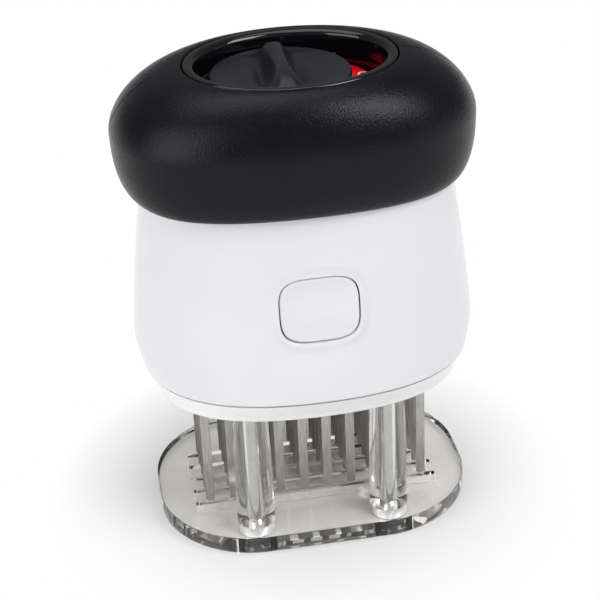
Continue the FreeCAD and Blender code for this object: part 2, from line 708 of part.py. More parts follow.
def make_well():
    """Gloss black bezel ring, and the dish under it that the lock knob turns in."""
    rim, low = mm("rim_level"), mm("rim_level") - mm("ring_height")
    out_x, out_y = mm("rim_half_x") - mm("ring_gap"), mm("rim_half_y") - mm("ring_gap")
    in_x, in_y = mm("rim_half_x") - mm("ring_width") - mm("ring_gap"), \
        mm("rim_half_y") - mm("ring_width") - mm("ring_gap")
    power = mm("rim_power")
    ring = prism(out_x, out_y, power, low, rim).cut(prism(in_x, in_y, power, low - 1, rim + 1))
    tops = [edge for edge in ring.Edges if edge.BoundBox.ZMin > rim - 0.01]
    ring = ring.makeFillet(mm("ring_round"), tops)
    shaped("bezel_ring", ring)

    wall = mm("dish_wall")
    floor, floor_low = mm("dish_floor_top"), mm("dish_floor_top") - mm("dish_floor")
    dish = prism(in_x + wall, in_y + wall, power, floor_low, low)
    dish = dish.fuse(prism(out_x, out_y, power, low - 1.9, low))
    dish = dish.cut(prism(in_x, in_y, power, floor, low + 1))
    dish = dish.cut(cylinder(mm("spindle_radius") + mm("slide_gap"), floor_low - 1, floor + 1,
                             mm("knob_x")))
    half = mm("window_spread") / 2
    near = mm("knob_radius") - mm("window_overlap")
    spot = FreeCAD.Vector(mm("knob_x"), 0, floor_low - 1)
    up = FreeCAD.Vector(0, 0, 1)
    window = Part.makeCylinder(mm("disc_radius") + 4, mm("dish_floor") + 2, spot, up, 2 * half)
    window = window.cut(cylinder(near, floor_low - 2, floor + 2, mm("knob_x")))
    window.rotate(spot, up, -half)
    window = window.common(prism(in_x - 0.6, in_y - 0.6, power, floor_low - 1, floor + 1))
    shaped("well_dish", dish.cut(window).removeSplitter())


def ridge_wire(y, half_width, crest, low):
    """One slice across the ridge: a rounded arch on a flat base."""
    points = []
    power = 2.3
    steps = 14
    for step in range(steps + 1):
        turn = math.pi * step / steps
        c, s = math.cos(turn), max(math.sin(turn), 0)
        x = half_width * math.copysign(abs(c) ** (2 / power), c)
        points.append(FreeCAD.Vector(mm("knob_x") + x, y, low + (crest - low) * s ** (2 / power)))
    curve = Part.BSplineCurve()
    curve.interpolate(points)
    base = Part.LineSegment(points[-1], points[0])
    return Part.Wire([curve.toShape(), base.toShape()])


def make_knob():
    """Leathery black disc with two finger scoops and a tall ridge to turn it by."""
    radius, level = mm("knob_radius"), mm("knob_level")
    low = level - mm("knob_thickness")
    disc = cylinder(radius, low, level, mm("knob_x"))
    rims = [edge for edge in disc.Edges if edge.BoundBox.ZMin > level - 0.01]
    disc = disc.makeFillet(0.8, rims)
    dish = mm("scoop_radius")
    for side in (-1, 1):
        centre = FreeCAD.Vector(mm("knob_x") + side * radius * 0.55, 0,
                                level - mm("scoop_depth") + dish)
        disc = disc.cut(Part.makeSphere(dish, centre))
    crest = level + mm("ridge_height")
    half = mm("ridge_half_width")
    slices = [(-0.94, 1.75, 0.1), (-0.8, 1.45, 0.5), (-0.5, 1.1, 0.92), (0.0, 0.95, 1.0),
              (0.3, 1.02, 1.0), (0.55, 1.1, 0.95), (0.7, 1.15, 0.6), (0.8, 1.2, 0.1)]
    wires = [ridge_wire(radius * along, half * wide, level + (crest - level) * tall, low + 0.6)
             for along, wide, tall in slices]
    ridge = Part.makeLoft(wires, True, False)
    bore = cylinder(mm("spindle_radius") - 0.8, low - 1, low + 2, mm("knob_x"))
    shaped("lock_knob", disc.fuse(ridge).cut(bore).removeSplitter())

    under = mm("deck_level") + mm("bar_clearance")
    disc = cylinder(mm("disc_radius"), under, under + mm("disc_gauge"), mm("knob_x"))
    bore = cylinder(mm("spindle_radius") + mm("running_gap"), under - 1, under + 9, mm("knob_x"))
    shaped("status_disc", disc.cut(bore))


def make_spindle():
    """Quarter-turn lock: the bar at the spindle's foot rests on the yoke unless it lines up."""
    bar_low = yoke_top + size("bar_clearance")
    bar_high = bar_low + size("bar_height")
    knob_low = size("knob_level") - size("knob_thickness")
    zero = Size("0", 0)
    turned("lock_spindle", [
        (zero, bar_high), (size("spindle_radius"), bar_high), (size("spindle_radius"), knob_low),
        (size("spindle_radius") - 0.88, knob_low), (size("spindle_radius") - 0.88, knob_low + 1.9),
        (zero, knob_low + 1.9)], size("knob_x"))
    body = new_body("lock_bar")
    base = new_sketch(body, lift=bar_low)
    half_x, half_y = size("bar_width") / 2, size("bar_length") / 2
    rectangle(base, -half_x, -half_y, half_x, half_y)
    pad(body, base, size("bar_height"))
    place(body, size("knob_x"))
    top = size("neck_level")
    low = top - size("ceiling") - size("chassis_gauge") - size("cup_height")
    bore = size("spindle_radius") + size("running_gap")
    outside = size("spindle_radius") + size("bush_wall")
    turned("spindle_bush", [(bore, low), (outside, low), (outside, top), (bore, top)],
           size("knob_x"))
    clip_low = low.number - mm("clip_gauge") - mm("running_gap")
    grip = mm("spindle_radius") + mm("running_gap")
    clip = cylinder(grip + mm("bush_wall"), clip_low, clip_low + mm("clip_gauge"), mm("knob_x"))
    clip = clip.cut(cylinder(grip, clip_low - 1, clip_low + 2, mm("knob_x")))
    mouth = block(mm("knob_x"), mm("knob_x") + 9, -grip * 0.6, grip * 0.6, clip_low - 1, clip_low + 2)
    shaped("spindle_clip", clip.cut(mouth))


def coil(radius, wire, turns, length, spot, direction):
    """One unbroken spring: six-sided slices of wire, square to the climb, joined in order."""
    steps_per_turn, sides = 12, 6
    rise = length - wire
    slope = math.atan2(rise / turns, 2 * math.pi * radius)
    around = FreeCAD.Rotation(FreeCAD.Vector(0, 0, 1), direction)
    slices = []
    for step in range(steps_per_turn * turns + 1):
        turn = 2 * math.pi * step / steps_per_turn
        out = FreeCAD.Vector(math.cos(turn), math.sin(turn), 0)
        climb = FreeCAD.Vector(math.sin(turn) * math.sin(slope), -math.cos(turn) * math.sin(slope),
                               math.cos(slope))
        centre = out * radius + FreeCAD.Vector(0, 0, wire / 2 + rise * turn / (2 * math.pi * turns))
        corners = []
        for side in range(sides):
            angle = 2 * math.pi * (side + 0.5) / sides
            corner = centre + out * (wire / 2 * math.cos(angle)) + climb * (wire / 2 * math.sin(angle))
            corners.append(spot + around.multVec(corner))
        slices.append(Part.makePolygon(corners + corners[:1]))
    print(f"coil of wire {wire}: gap between turns {rise / turns - wire:.2f}")
    return Part.makeLoft(slices, True, True)


def make_main_springs():
    """Two springs lift the handle off the yoke again after each stroke."""
    low = yoke_top.number
    high = mm("neck_level") - mm("ceiling") - mm("chassis_gauge")
    for name, side in (("left", -1), ("right", 1)):
        spot = FreeCAD.Vector(side * mm("spring_x"), 0, low + 0.05)
        spring = coil(mm("spring_radius"), mm("spring_wire"), int(mm("spring_turns")),
                       high - low - 0.1, spot, FreeCAD.Vector(0, 0, 1))
        shaped(f"main_spring_{name}", spring)


def make_buttons():
    """Front and rear release buttons, each with its latch and return spring."""
    skin = loft(housing_sections())
    face_y = button_face_y()
    back = face_y - mm("button_depth")
    for name, side in (("front", -1), ("rear", 1)):
        cap = button_prism(side, 0.0, back, 60).common(skin)
        dish = 90.0
        centre = FreeCAD.Vector(0, side * (face_y + dish - mm("button_dish")), mm("button_level"))
        cap = cap.cut(Part.makeSphere(dish, centre))
        half = mm("latch_half_x")
        near = mm("bracket_y") + mm("bracket_gauge") + mm("button_stroke") + 0.3
        stem = block(-half - 2.5, -half, *sorted((side * near, side * (back + 0.5))),
                     mm("button_level") - 4, mm("button_level") + 4)
        twin = block(half, half + 2.5, *sorted((side * near, side * (back + 0.5))),
                     mm("button_level") - 4, mm("button_level") + 4)
        shaped(f"release_button_{name}", cap.fuse(stem).fuse(twin).removeSplitter())

        spigot_y = spigot_half()[1] - mm("tray_wall")
        tooth_y = spigot_y - mm("slide_gap")
        tooth_low, tooth_high = tooth_levels()
        plate_y = back - mm("latch_gauge")
        upper = block(-half, half, *sorted((side * plate_y, side * back)),
                      mm("button_level") - mm("button_half_z") + 1, mm("button_level") + 4)
        shin = block(-half, half, *sorted((side * plate_y, side * back)),
                     tooth_low, mm("button_level") - mm("button_half_z") + 2)
        tooth = block(-half, half, *sorted((side * plate_y, side * tooth_y)), tooth_low, tooth_high)
        bore = Part.makeCylinder(mm("return_spring_radius") + 0.6, 20,
                                 FreeCAD.Vector(0, side * (back + 5), mm("button_level")),
                                 FreeCAD.Vector(0, -side, 0))
        shaped(f"latch_{name}", upper.fuse(shin).fuse(tooth).cut(bore).removeSplitter())

        start = mm("bracket_y") + mm("bracket_gauge") + 0.05
        spot = FreeCAD.Vector(0, side * start, mm("button_level"))
        spring = coil(mm("return_spring_radius"), mm("return_wire"), int(mm("return_turns")),
                       back - start - 0.05, spot, FreeCAD.Vector(0, side, 0))
        shaped(f"return_spring_{name}", spring)


def button_face_y():
    """How far out the housing's skin stands at the middle of the button."""
    return room_inside(mm("button_level"))[1] + mm("housing_wall") + mm("slide_gap")


make_foot_plate()
make_posts()
make_yoke()
make_blades()
make_carrier()
make_skirt()
make_housing()
make_chassis()
make_grip()
make_well()
make_knob()
make_spindle()
make_main_springs()
make_buttons()
doc.recompute()

for item in doc.Objects:
    if "Invalid" in item.State or "Error" in item.State:
        raise RuntimeError(f"{item.Label} failed: {item.State}")
for node in nodes:
    shape = node.Shape
    if shape.isNull() or not shape.isValid() or not shape.Solids:
        raise RuntimeError(f"{node.Label} has no valid solid")
for node in nodes:
    node.Shape.exportStep(f"parts/{node.Label}.step")
    box = node.Shape.BoundBox
    print(f"{node.Label}: {len(node.Shape.Solids)} solid, volume {node.Shape.Volume:.0f}, "
          f"z {box.ZMin:.1f} to {box.ZMax:.1f}, y {box.YMin:.1f} to {box.YMax:.1f}")
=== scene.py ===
# %% [markdown]
# # A push-down blade tenderizer, finished in Blender
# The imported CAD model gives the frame: every node at its real place, in metres.
# This lesson dresses it. Curved shells that a viewer sees up close are worked out again as dense
# smooth surfaces, and flat or hidden parts keep their CAD mesh and get a proper finish.

# %% Load the frame
import json
import math
import bpy
import bmesh
import numpy as np
from mathutils import Matrix, Vector


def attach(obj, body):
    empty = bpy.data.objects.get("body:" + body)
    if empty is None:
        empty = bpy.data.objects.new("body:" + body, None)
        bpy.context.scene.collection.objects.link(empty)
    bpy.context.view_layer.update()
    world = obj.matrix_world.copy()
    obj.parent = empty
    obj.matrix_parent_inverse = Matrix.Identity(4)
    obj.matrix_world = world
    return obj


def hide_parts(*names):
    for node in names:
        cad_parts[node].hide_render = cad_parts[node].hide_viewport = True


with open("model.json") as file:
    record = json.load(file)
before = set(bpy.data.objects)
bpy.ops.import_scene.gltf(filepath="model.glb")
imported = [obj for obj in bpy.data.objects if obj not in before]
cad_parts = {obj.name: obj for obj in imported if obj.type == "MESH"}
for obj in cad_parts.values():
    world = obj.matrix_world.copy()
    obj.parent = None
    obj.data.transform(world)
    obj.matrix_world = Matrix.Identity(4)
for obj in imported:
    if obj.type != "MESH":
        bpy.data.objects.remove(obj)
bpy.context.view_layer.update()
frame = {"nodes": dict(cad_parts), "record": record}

MM = 0.001
KNOB_AXIS = -3.3
SIDES = {"front": -1, "rear": 1}
CORNERS = {"front_left": (-1, -1), "front_right": (1, -1), "rear_left": (-1, 1), "rear_right": (1, 1)}

# %% [markdown]
# ## The camera
# The photograph looks slightly from the left and from above, through a long lens held a little off level.
# A camera can be aimed with a constraint, but worked-out axes let the small roll and tilt be
# set exactly, so the camera's matrix is built from its own right, up and back directions.

# %% Camera
AZIMUTH, ELEVATION, ROLL = math.radians(-8.47), math.radians(28.18), math.radians(-2.69)
PAN, TILT = math.radians(0.06), math.radians(0.76)
DISTANCE, AIM = 0.5354, Vector((0, 0, 0.080))
FOCAL_PIXELS, FRAME_PIXELS, SENSOR = 1650, 600, 36.0


def heading(azimuth, elevation):
    """Unit direction that a camera at this azimuth and elevation looks along."""
    return Vector((-math.sin(azimuth) * math.cos(elevation), math.cos(azimuth) * math.cos(elevation),
                   -math.sin(elevation)))


eye = AIM - DISTANCE * heading(AZIMUTH, ELEVATION)
look = heading(AZIMUTH + PAN, ELEVATION + TILT)
level = look.cross(Vector((0, 0, 1))).normalized()
upright = level.cross(look)
right = math.cos(ROLL) * level + math.sin(ROLL) * upright
up = -math.sin(ROLL) * level + math.cos(ROLL) * upright
lens = bpy.data.cameras.new("studio_camera")
lens.sensor_width = SENSOR
lens.lens = FOCAL_PIXELS / FRAME_PIXELS * SENSOR
camera = bpy.data.objects.new("studio_camera", lens)
camera.matrix_world = Matrix([(right[i], up[i], -look[i], eye[i]) for i in range(3)] + [(0, 0, 0, 1)])
bpy.context.collection.objects.link(camera)
bpy.context.scene.camera = camera
bpy.context.scene.view_settings.view_transform = "Standard"
print("camera at", [round(v, 3) for v in eye], "lens", round(lens.lens, 1))

# %% [markdown]
# ## Colour and node helpers
# Colours are written as the sRGB hex that a maker would quote. Shaders work in linear light, so one
# function converts them, and one small function adds a node with its settings and its links.


# %% Colour and node helpers
def linear(hex_code):
    """sRGB hex to linear light: c/12.92 below 0.04045, else ((c+0.055)/1.055)^2.4."""
    channels = [int(hex_code[i:i + 2], 16) / 255 for i in (1, 3, 5)]
    return tuple(c / 12.92 if c <= 0.04045 else ((c + 0.055) / 1.055) ** 2.4 for c in channels) + (1.0,)


def add(tree, kind, settings=None, **links):
    """Add a node, set its properties or sockets by name, and link sockets to it."""
    node = tree.nodes.new(kind)
    for name, value in (settings or {}).items():
        if name in node.inputs:
            node.inputs[name].default_value = value
        else:
            setattr(node, name, value)
    for name, source in links.items():
        target = node.inputs[int(name[1:])] if name[1:].isdigit() else node.inputs[name.replace("_", " ")]
        tree.links.new(source, target)
    return node


def new_material(name, settings):
    """A material with one Principled shader; returns it, its tree and its shader."""
    material = bpy.data.materials.new(name)
    material.use_nodes = True
    tree = material.node_tree
    shader = tree.nodes["Principled BSDF"]
    for socket, value in settings.items():
        shader.inputs[socket].default_value = value
    return material, tree, shader


def place_of(tree):
    return add(tree, "ShaderNodeTexCoord").outputs["Object"]


def per_mm(size_mm):
    """Texture scale for a feature of this size, because one Blender unit is a metre."""
    return 1 / (size_mm * MM)


def tinted(tree, shader, source, low, high):
    """Colour that drifts between two hex values with a texture."""
    ramp = add(tree, "ShaderNodeValToRGB", Fac=source)
    ramp.color_ramp.elements[0].color = linear(low)
    ramp.color_ramp.elements[1].color = linear(high)
    ramp.color_ramp.elements[0].position = 0.3
    ramp.color_ramp.elements[1].position = 0.7
    tree.links.new(ramp.outputs["Color"], shader.inputs["Base Color"])


def roughened(tree, shader, source, low, high):
    span = add(tree, "ShaderNodeMapRange", {"To Min": low, "To Max": high}, Value=source)
    tree.links.new(span.outputs["Result"], shader.inputs["Roughness"])


def bumped(tree, shader, source, strength, depth_mm):
    bump = add(tree, "ShaderNodeBump", {"Strength": strength, "Distance": depth_mm * MM}, Height=source)
    tree.links.new(bump.outputs["Normal"], shader.inputs["Normal"])


# %% [markdown]
# ## Soft-touch rubber
# The grip is a thermoplastic elastomer moulded over a stiff core. Spark-eroded mould walls leave a grain of
# a tenth or two of a millimetre. That is too fine to show at this distance, so it is drawn at six tenths.
# It breaks highlights into sparkle and keeps the black slightly grey.


# %% Soft-touch rubber
def soft_touch_elastomer():
    material, tree, shader = new_material("soft_touch_elastomer", {
        "Roughness": 0.4, "IOR": 1.5, "Specular IOR Level": 0.2})
    spot = place_of(tree)
    grain = add(tree, "ShaderNodeTexNoise", {"Scale": per_mm(0.6), "Detail": 2.0, "Roughness": 0.6},
                Vector=spot)
    drift = add(tree, "ShaderNodeTexNoise", {"Scale": per_mm(18), "Detail": 1.0}, Vector=spot)
    tinted(tree, shader, drift.outputs["Fac"], "#0B0B11", "#101018")
    roughened(tree, shader, grain.outputs["Fac"], 0.22, 0.36)
    bumped(tree, shader, grain.outputs["Fac"], 1.0, 0.12)
    return material


def leather_grained_elastomer():
    """The knob's grain is a net of half-millimetre cells, like fine leather."""
    material, tree, shader = new_material("leather_grained_elastomer", {
        "Roughness": 0.4, "IOR": 1.5, "Specular IOR Level": 0.34})
    spot = place_of(tree)
    cells = add(tree, "ShaderNodeTexVoronoi", {"Scale": per_mm(0.55), "feature": "SMOOTH_F1"}, Vector=spot)
    drift = add(tree, "ShaderNodeTexNoise", {"Scale": per_mm(7), "Detail": 2.0}, Vector=spot)
    tinted(tree, shader, drift.outputs["Fac"], "#191922", "#21212B")
    roughened(tree, shader, cells.outputs["Distance"], 0.26, 0.40)
    bumped(tree, shader, cells.outputs["Distance"], 0.6, 0.07)
    return material


# %% [markdown]
# ## Gloss ABS
# The housing, the button and the bezel come out of polished moulds. ABS has an IOR near 1.53. A gloss
# moulding is never optically flat: a very shallow waviness of some twenty millimetres bends reflections.


# %% Gloss ABS
def gloss_abs(name, low, high, roughness):
    material, tree, shader = new_material(name, {"IOR": 1.53, "Roughness": roughness})
    spot = place_of(tree)
    drift = add(tree, "ShaderNodeTexNoise", {"Scale": per_mm(22), "Detail": 1.0}, Vector=spot)
    tinted(tree, shader, drift.outputs["Fac"], low, high)
    roughened(tree, shader, drift.outputs["Fac"], roughness * 0.8, roughness * 1.2)
    bumped(tree, shader, drift.outputs["Fac"], 0.3, 0.02)
    return material


# %% [markdown]
# ## Clear acrylic
# The foot and the post sleeves are moulded acrylic, IOR 1.49. Thick clear plastic shows a faint grey at its
# edges. The tint given here is greyer than that. It is partly the plastic's own grey and partly painted
# shade:
# it darkens the table seen through the foot and the sleeves, as shade under the tool would. Path-traced glass
# blocks light from lamps, so a shadow ray sees each surface as a grey filter instead, which stands for the
# light that a real piece lets through to the table.


# %% Clear acrylic
def clear_acrylic():
    material, tree, shader = new_material("clear_acrylic", {
        "Roughness": 0.015, "IOR": 1.49, "Transmission Weight": 1.0})
    drift = add(tree, "ShaderNodeTexNoise", {"Scale": per_mm(30), "Detail": 0.0}, Vector=place_of(tree))
    # Grey tint: partly the acrylic's own faint grey, partly painted shade on what is seen through it.
    tinted(tree, shader, drift.outputs["Fac"], "#E7E6E4", "#EAE9E7")
    clear = add(tree, "ShaderNodeBsdfTransparent", {"Color": linear("#CBCBCB")})
    path = add(tree, "ShaderNodeLightPath")
    mix = add(tree, "ShaderNodeMixShader", _0=path.outputs["Is Shadow Ray"],
              _1=shader.outputs["BSDF"], _2=clear.outputs["BSDF"])
    tree.links.new(mix.outputs["Shader"], tree.nodes["Material Output"].inputs["Surface"])
    return material


# %% [markdown]
# ## Metals
# The blades are stamped from stainless sheet and ground lengthwise, so fine scratches run down them: a noise
# squeezed along Z. The rods are polished bar. Springs are drawn wire.


# %% Metals
def ground_stainless(name, low, high, stretch, rough_low, rough_high):
    material, tree, shader = new_material(name, {"Metallic": 1.0, "Roughness": 0.3})
    lay = add(tree, "ShaderNodeMapping", {"Scale": stretch}, Vector=place_of(tree))
    lines = add(tree, "ShaderNodeTexNoise", {"Scale": 1.0, "Detail": 3.0, "Roughness": 0.7},
                Vector=lay.outputs["Vector"])
    tinted(tree, shader, lines.outputs["Fac"], low, high)
    roughened(tree, shader, lines.outputs["Fac"], rough_low, rough_high)
    bumped(tree, shader, lines.outputs["Fac"], 0.25, 0.02)
    return material


def polished_bar():
    material, tree, shader = new_material("polished_steel_bar", {"Metallic": 1.0, "Roughness": 0.08})
    drift = add(tree, "ShaderNodeTexNoise", {"Scale": per_mm(3), "Detail": 2.0}, Vector=place_of(tree))
    tinted(tree, shader, drift.outputs["Fac"], "#D5D6D8", "#DEDFE0")
    roughened(tree, shader, drift.outputs["Fac"], 0.06, 0.12)
    return material


# %% [markdown]
# ## Plain moulded parts
# Nylon, acetal and rubber parts inside the tool have a matt skin from the mould. Each is one noise that moves
# colour, roughness and a little height.


# %% Plain moulded parts
def moulded(name, low, high, roughness, grain_mm, depth_mm=0.03):
    material, tree, shader = new_material(name, {"Roughness": roughness, "IOR": 1.5})
    grain = add(tree, "ShaderNodeTexNoise", {"Scale": per_mm(grain_mm), "Detail": 3.0},
                Vector=place_of(tree))
    tinted(tree, shader, grain.outputs["Fac"], low, high)
    roughened(tree, shader, grain.outputs["Fac"], roughness - 0.06, roughness + 0.06)
    bumped(tree, shader, grain.outputs["Fac"], 0.3, depth_mm)
    return material


def status_paint():
    """Red on the quarter to the right of the knob's axis, where x > |y|, and grey on the rest."""
    material, tree, shader = new_material("printed_status_disc", {
        "Roughness": 0.35, "IOR": 1.5, "Specular IOR Level": 0.2})
    split = add(tree, "ShaderNodeSeparateXYZ", Vector=place_of(tree))
    away = add(tree, "ShaderNodeMath", {"operation": "ABSOLUTE"}, _0=split.outputs["Y"])
    reach = add(tree, "ShaderNodeMath", {"operation": "SUBTRACT"}, _0=split.outputs["X"])
    reach.inputs[1].default_value = KNOB_AXIS * MM
    inside = add(tree, "ShaderNodeMath", {"operation": "GREATER_THAN"}, _0=reach.outputs["Value"],
                 _1=away.outputs["Value"])
    mix = add(tree, "ShaderNodeMix", {"data_type": "RGBA"}, _0=inside.outputs["Value"])
    colour_a, colour_b, colour_out = 6, 7, 2  # the Mix node has a set of sockets for each data type
    mix.inputs[colour_a].default_value = linear("#6E7174")
    mix.inputs[colour_b].default_value = linear("#FF1020")
    tree.links.new(mix.outputs[colour_out], shader.inputs["Base Color"])
    return material


RUBBER_GRIP = soft_touch_elastomer()
KNOB_SKIN = leather_grained_elastomer()
WHITE_ABS = gloss_abs("gloss_white_abs", "#E6E6EB", "#EAEAEE", 0.10)
WARM_ABS = gloss_abs("gloss_skirt_white_abs", "#F4F4F4", "#F7F7F6", 0.16)
BLACK_ABS = gloss_abs("gloss_black_abs", "#08080C", "#0B0B10", 0.07)
ACRYLIC = clear_acrylic()
BLADE_STEEL = ground_stainless("ground_stainless_blade", "#96938F", "#CCC8C2",
                               (per_mm(0.25), per_mm(0.25), per_mm(6)), 0.26, 0.42)
PLATE_STEEL = ground_stainless("brushed_stainless_plate", "#A6A6A6", "#BDBDBC",
                               (per_mm(8), per_mm(0.3), per_mm(0.3)), 0.3, 0.45)
WIRE_STEEL = ground_stainless("drawn_spring_wire", "#8C8C8C", "#A5A5A5",
                              (per_mm(1), per_mm(1), per_mm(1)), 0.25, 0.4)
POLISHED = polished_bar()
NYLON = moulded("glass_filled_nylon", "#7A7C7E", "#85878A", 0.5, 0.6)
ACETAL = moulded("natural_acetal", "#DAD9D4", "#E2E1DD", 0.4, 0.8)
RUBBER = moulded("moulded_black_rubber", "#101113", "#17181A", 0.6, 0.5)
STATUS = status_paint()
PICTOGRAM = moulded("white_print", "#F0F0F0", "#F8F8F8", 0.3, 1.5, 0.005)
print("materials:", len(bpy.data.materials))

# %% [markdown]
# ## Dressing the CAD nodes
# Flat or hidden parts have the right shape already. They keep their mesh and only get their finish.

# %% Dressing the CAD nodes
FINISH_OF_SLOT = {
    "clear_acrylic": ACRYLIC, "polished_steel": POLISHED, "brushed_stainless": PLATE_STEEL,
    "blade_stainless": BLADE_STEEL, "spring_steel": WIRE_STEEL, "black_rubber": RUBBER,
    "white_abs": WHITE_ABS, "white_abs_warm": WARM_ABS, "soft_touch_black": RUBBER_GRIP,
    "black_abs": BLACK_ABS, "matte_black": KNOB_SKIN, "red_print": STATUS, "grey_nylon": NYLON,
    "acetal": ACETAL,
}
slot_of = {part["node"]: part["material_slot"] for part in frame["record"]["subparts"]}
for node, item in frame["nodes"].items():
    item.data.materials.clear()
    item.data.materials.append(FINISH_OF_SLOT[slot_of[node]])
body_of = {node: body for body, members in frame["record"]["behaviour"]["bodies"].items()
           for node in members}

# %% [markdown]
# ## From arrays to meshes
# Every new shell here is a grid of points: rows along a profile, columns round the tool. One function
# turns such a grid into a closed mesh and another hangs it on its body in place of the CAD node.

# %% From arrays to meshes
SHARP = math.radians(38)


def grid_faces(rows, columns, close_rows, close_columns):
    """Quads between neighbouring rows and columns of a grid, wrapping where it is closed."""
    row = np.arange(rows if close_rows else rows - 1)
    column = np.arange(columns if close_columns else columns - 1)
    r, c = np.meshgrid(row, column, indexing="ij")
    r_next, c_next = (r + 1) % rows, (c + 1) % columns
    return np.stack([r * columns + c, r * columns + c_next, r_next * columns + c_next,
                     r_next * columns + c], axis=-1).reshape(-1, 4)


def capped_faces(rows, columns):
    """The quads of a stack of rings, and one flat face at either end."""
    ring = list(range(columns))
    return grid_faces(rows, columns, False, True).tolist() + [
        ring[::-1], [(rows - 1) * columns + place for place in ring]]


def to_object(name, points, faces, merge=0.0):
    """A mesh object in metres from points in millimetres, normals outwards, smooth with sharp creases."""
    mesh = bpy.data.meshes.new(name)
    mesh.from_pydata((np.asarray(points).reshape(-1, 3) * MM).tolist(), [], [list(f) for f in faces])
    work = bmesh.new()
    work.from_mesh(mesh)
    if merge:
        bmesh.ops.remove_doubles(work, verts=work.verts, dist=merge * MM)
    bmesh.ops.recalc_face_normals(work, faces=work.faces)
    work.to_mesh(mesh)
    work.free()
    soften(mesh)
    made = bpy.data.objects.new(name, mesh)
    bpy.context.collection.objects.link(made)
    return made


def soften(mesh):
    mesh.shade_smooth()
    mesh.set_sharp_from_angle(angle=SHARP)


def wear(piece, node):
    """The piece stands for a CAD node: same body, same finish slot."""
    piece.data.materials.clear()
    piece.data.materials.append(FINISH_OF_SLOT[slot_of[node]])
    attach(piece, body_of[node])
    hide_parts(node)
    print(piece.name, len(piece.data.polygons), "faces")


def cut_away(piece, cutter):
    """Subtract a closed cutter mesh and apply the result."""
    tool = piece.modifiers.new("cut", "BOOLEAN")
    tool.operation, tool.solver, tool.object = "DIFFERENCE", "EXACT", cutter
    carved = bpy.data.meshes.new_from_object(piece.evaluated_get(bpy.context.evaluated_depsgraph_get()))
    piece.modifiers.clear()
    piece.data = carved
    soften(piece.data)
    bpy.data.objects.remove(cutter)
    return piece


def along(points, count):
    """Points spaced evenly by length along a chain of corners."""
    points = np.asarray(points, float)
    length = np.concatenate([[0], np.cumsum(np.linalg.norm(np.diff(points, axis=0), axis=1))])
    at = np.linspace(0, length[-1], count)
    return np.stack([np.interp(at, length, points[:, k]) for k in range(points.shape[1])], axis=1)


def bend(centre, radius, start, end, count):
    """Points on an arc, angles in degrees from the first axis of the profile."""
    turn = np.radians(np.linspace(start, end, count))
    return np.stack([centre[0] + radius * np.cos(turn), centre[1] + radius * np.sin(turn)], axis=1)


def rounded_box(centre, half, corner, count):
    """Points round a rectangle about centre, every corner one arc."""
    return np.concatenate([bend((centre[0] + sx * (half[0] - corner), centre[1] + sy * (half[1] - corner)),
                                corner, start, start + 90, count)
                           for sx, sy, start in ((1, 1, 0), (-1, 1, 90), (-1, -1, 180), (1, -1, 270))])


# %% [markdown]
# ## Rounded ovals
# All big outlines of this tool are rounded ovals. Each quarter is one cubic arc whose handles
# reach a little further than an ellipse's, and that reach sets how square the oval looks.


# %% Rounded ovals
def reach_of(power):
    """Handle length for which the cubic passes where |x|^p + |y|^p = 1 does on the diagonal."""
    return (8 * 0.5 ** (1 / np.asarray(power, float)) - 4) / 3


def quarter(u, reach):
    """Cubic from (1, 0) to (0, 1) with handles (1, reach) and (reach, 1)."""
    v = 1 - u
    across = v ** 3 + 3 * v ** 2 * u + 3 * v * u ** 2 * reach
    upward = 3 * v ** 2 * u * reach + 3 * v * u ** 2 + u ** 3
    return across, upward


def oval(turns, power):
    """Unit oval at turns from 0 to 4 quarters, for one power or a column of powers."""
    reach = reach_of(power)
    step = np.floor(turns).astype(int) % 4
    across, upward = quarter(turns - np.floor(turns), reach)
    x = np.select([step == 0, step == 1, step == 2, step == 3], [across, -upward, -across, upward])
    y = np.select([step == 0, step == 1, step == 2, step == 3], [upward, across, -upward, -across])
    return x, y


def even_turns(count):
    return np.arange(count) * 4 / count


def swept(sections, turns):
    """Grid of points: each section is level, half_x, half_y, power and centre_x."""
    table = np.array([tuple(row) + (0.0,) * (5 - len(row)) for row in sections], float)
    height, half_x, half_y, power, centre = (table[:, k:k + 1] for k in range(5))
    x, y = oval(turns[None, :], power)
    return np.stack([centre + half_x * x, half_y * y, np.broadcast_to(height, x.shape)], axis=-1)


def ring_piece(name, sections, turns):
    """A closed ring: the sections run once round its wall and meet again."""
    points = swept(sections, turns)
    return to_object(name, points, grid_faces(len(sections), len(turns), True, True))


# %% [markdown]
# ## The grip
# The swell is two quarter ovals, one below the widest level and one above it. Both are formulas of one
# angle, so the profile can be as fine as the render needs. A hair-thin parting line runs over both ends,
# where the two halves of the mould met.

# %% The grip
NECK = dict(level=117.6, x=49.0, y=32.8, power=2.7)
SWELL = dict(level=137.0, x=56.7, y=38.4, power=2.3, lower=2.4, upper=1.75)
RIM = dict(level=156.0, x=33.2, y=26.6, power=2.05)
SKIN = 2.4


def swell_profile(inset, steps):
    """Rows of level, half_x, half_y and power up the grip, moved inwards by inset."""
    turn = np.linspace(0, math.pi / 2, steps)
    s, c = np.sin(turn), np.clip(np.cos(turn), 0, 1)
    out, down = s ** (2 / SWELL["lower"]), c ** (2 / SWELL["lower"])
    lower = np.stack([SWELL["level"] - (SWELL["level"] - NECK["level"]) * down,
                      NECK["x"] + (SWELL["x"] - NECK["x"]) * out - inset,
                      NECK["y"] + (SWELL["y"] - NECK["y"]) * out - inset,
                      NECK["power"] + (SWELL["power"] - NECK["power"]) * out], axis=1)
    rise, keep = s ** (2 / SWELL["upper"]), c ** (2 / SWELL["upper"])
    top = RIM["level"] - inset
    upper = np.stack([SWELL["level"] + (top - SWELL["level"]) * rise,
                      RIM["x"] + (SWELL["x"] - inset - RIM["x"]) * keep,
                      RIM["y"] + (SWELL["y"] - inset - RIM["y"]) * keep,
                      RIM["power"] + (SWELL["power"] - RIM["power"]) * keep], axis=1)
    return np.concatenate([lower, upper[1:]])


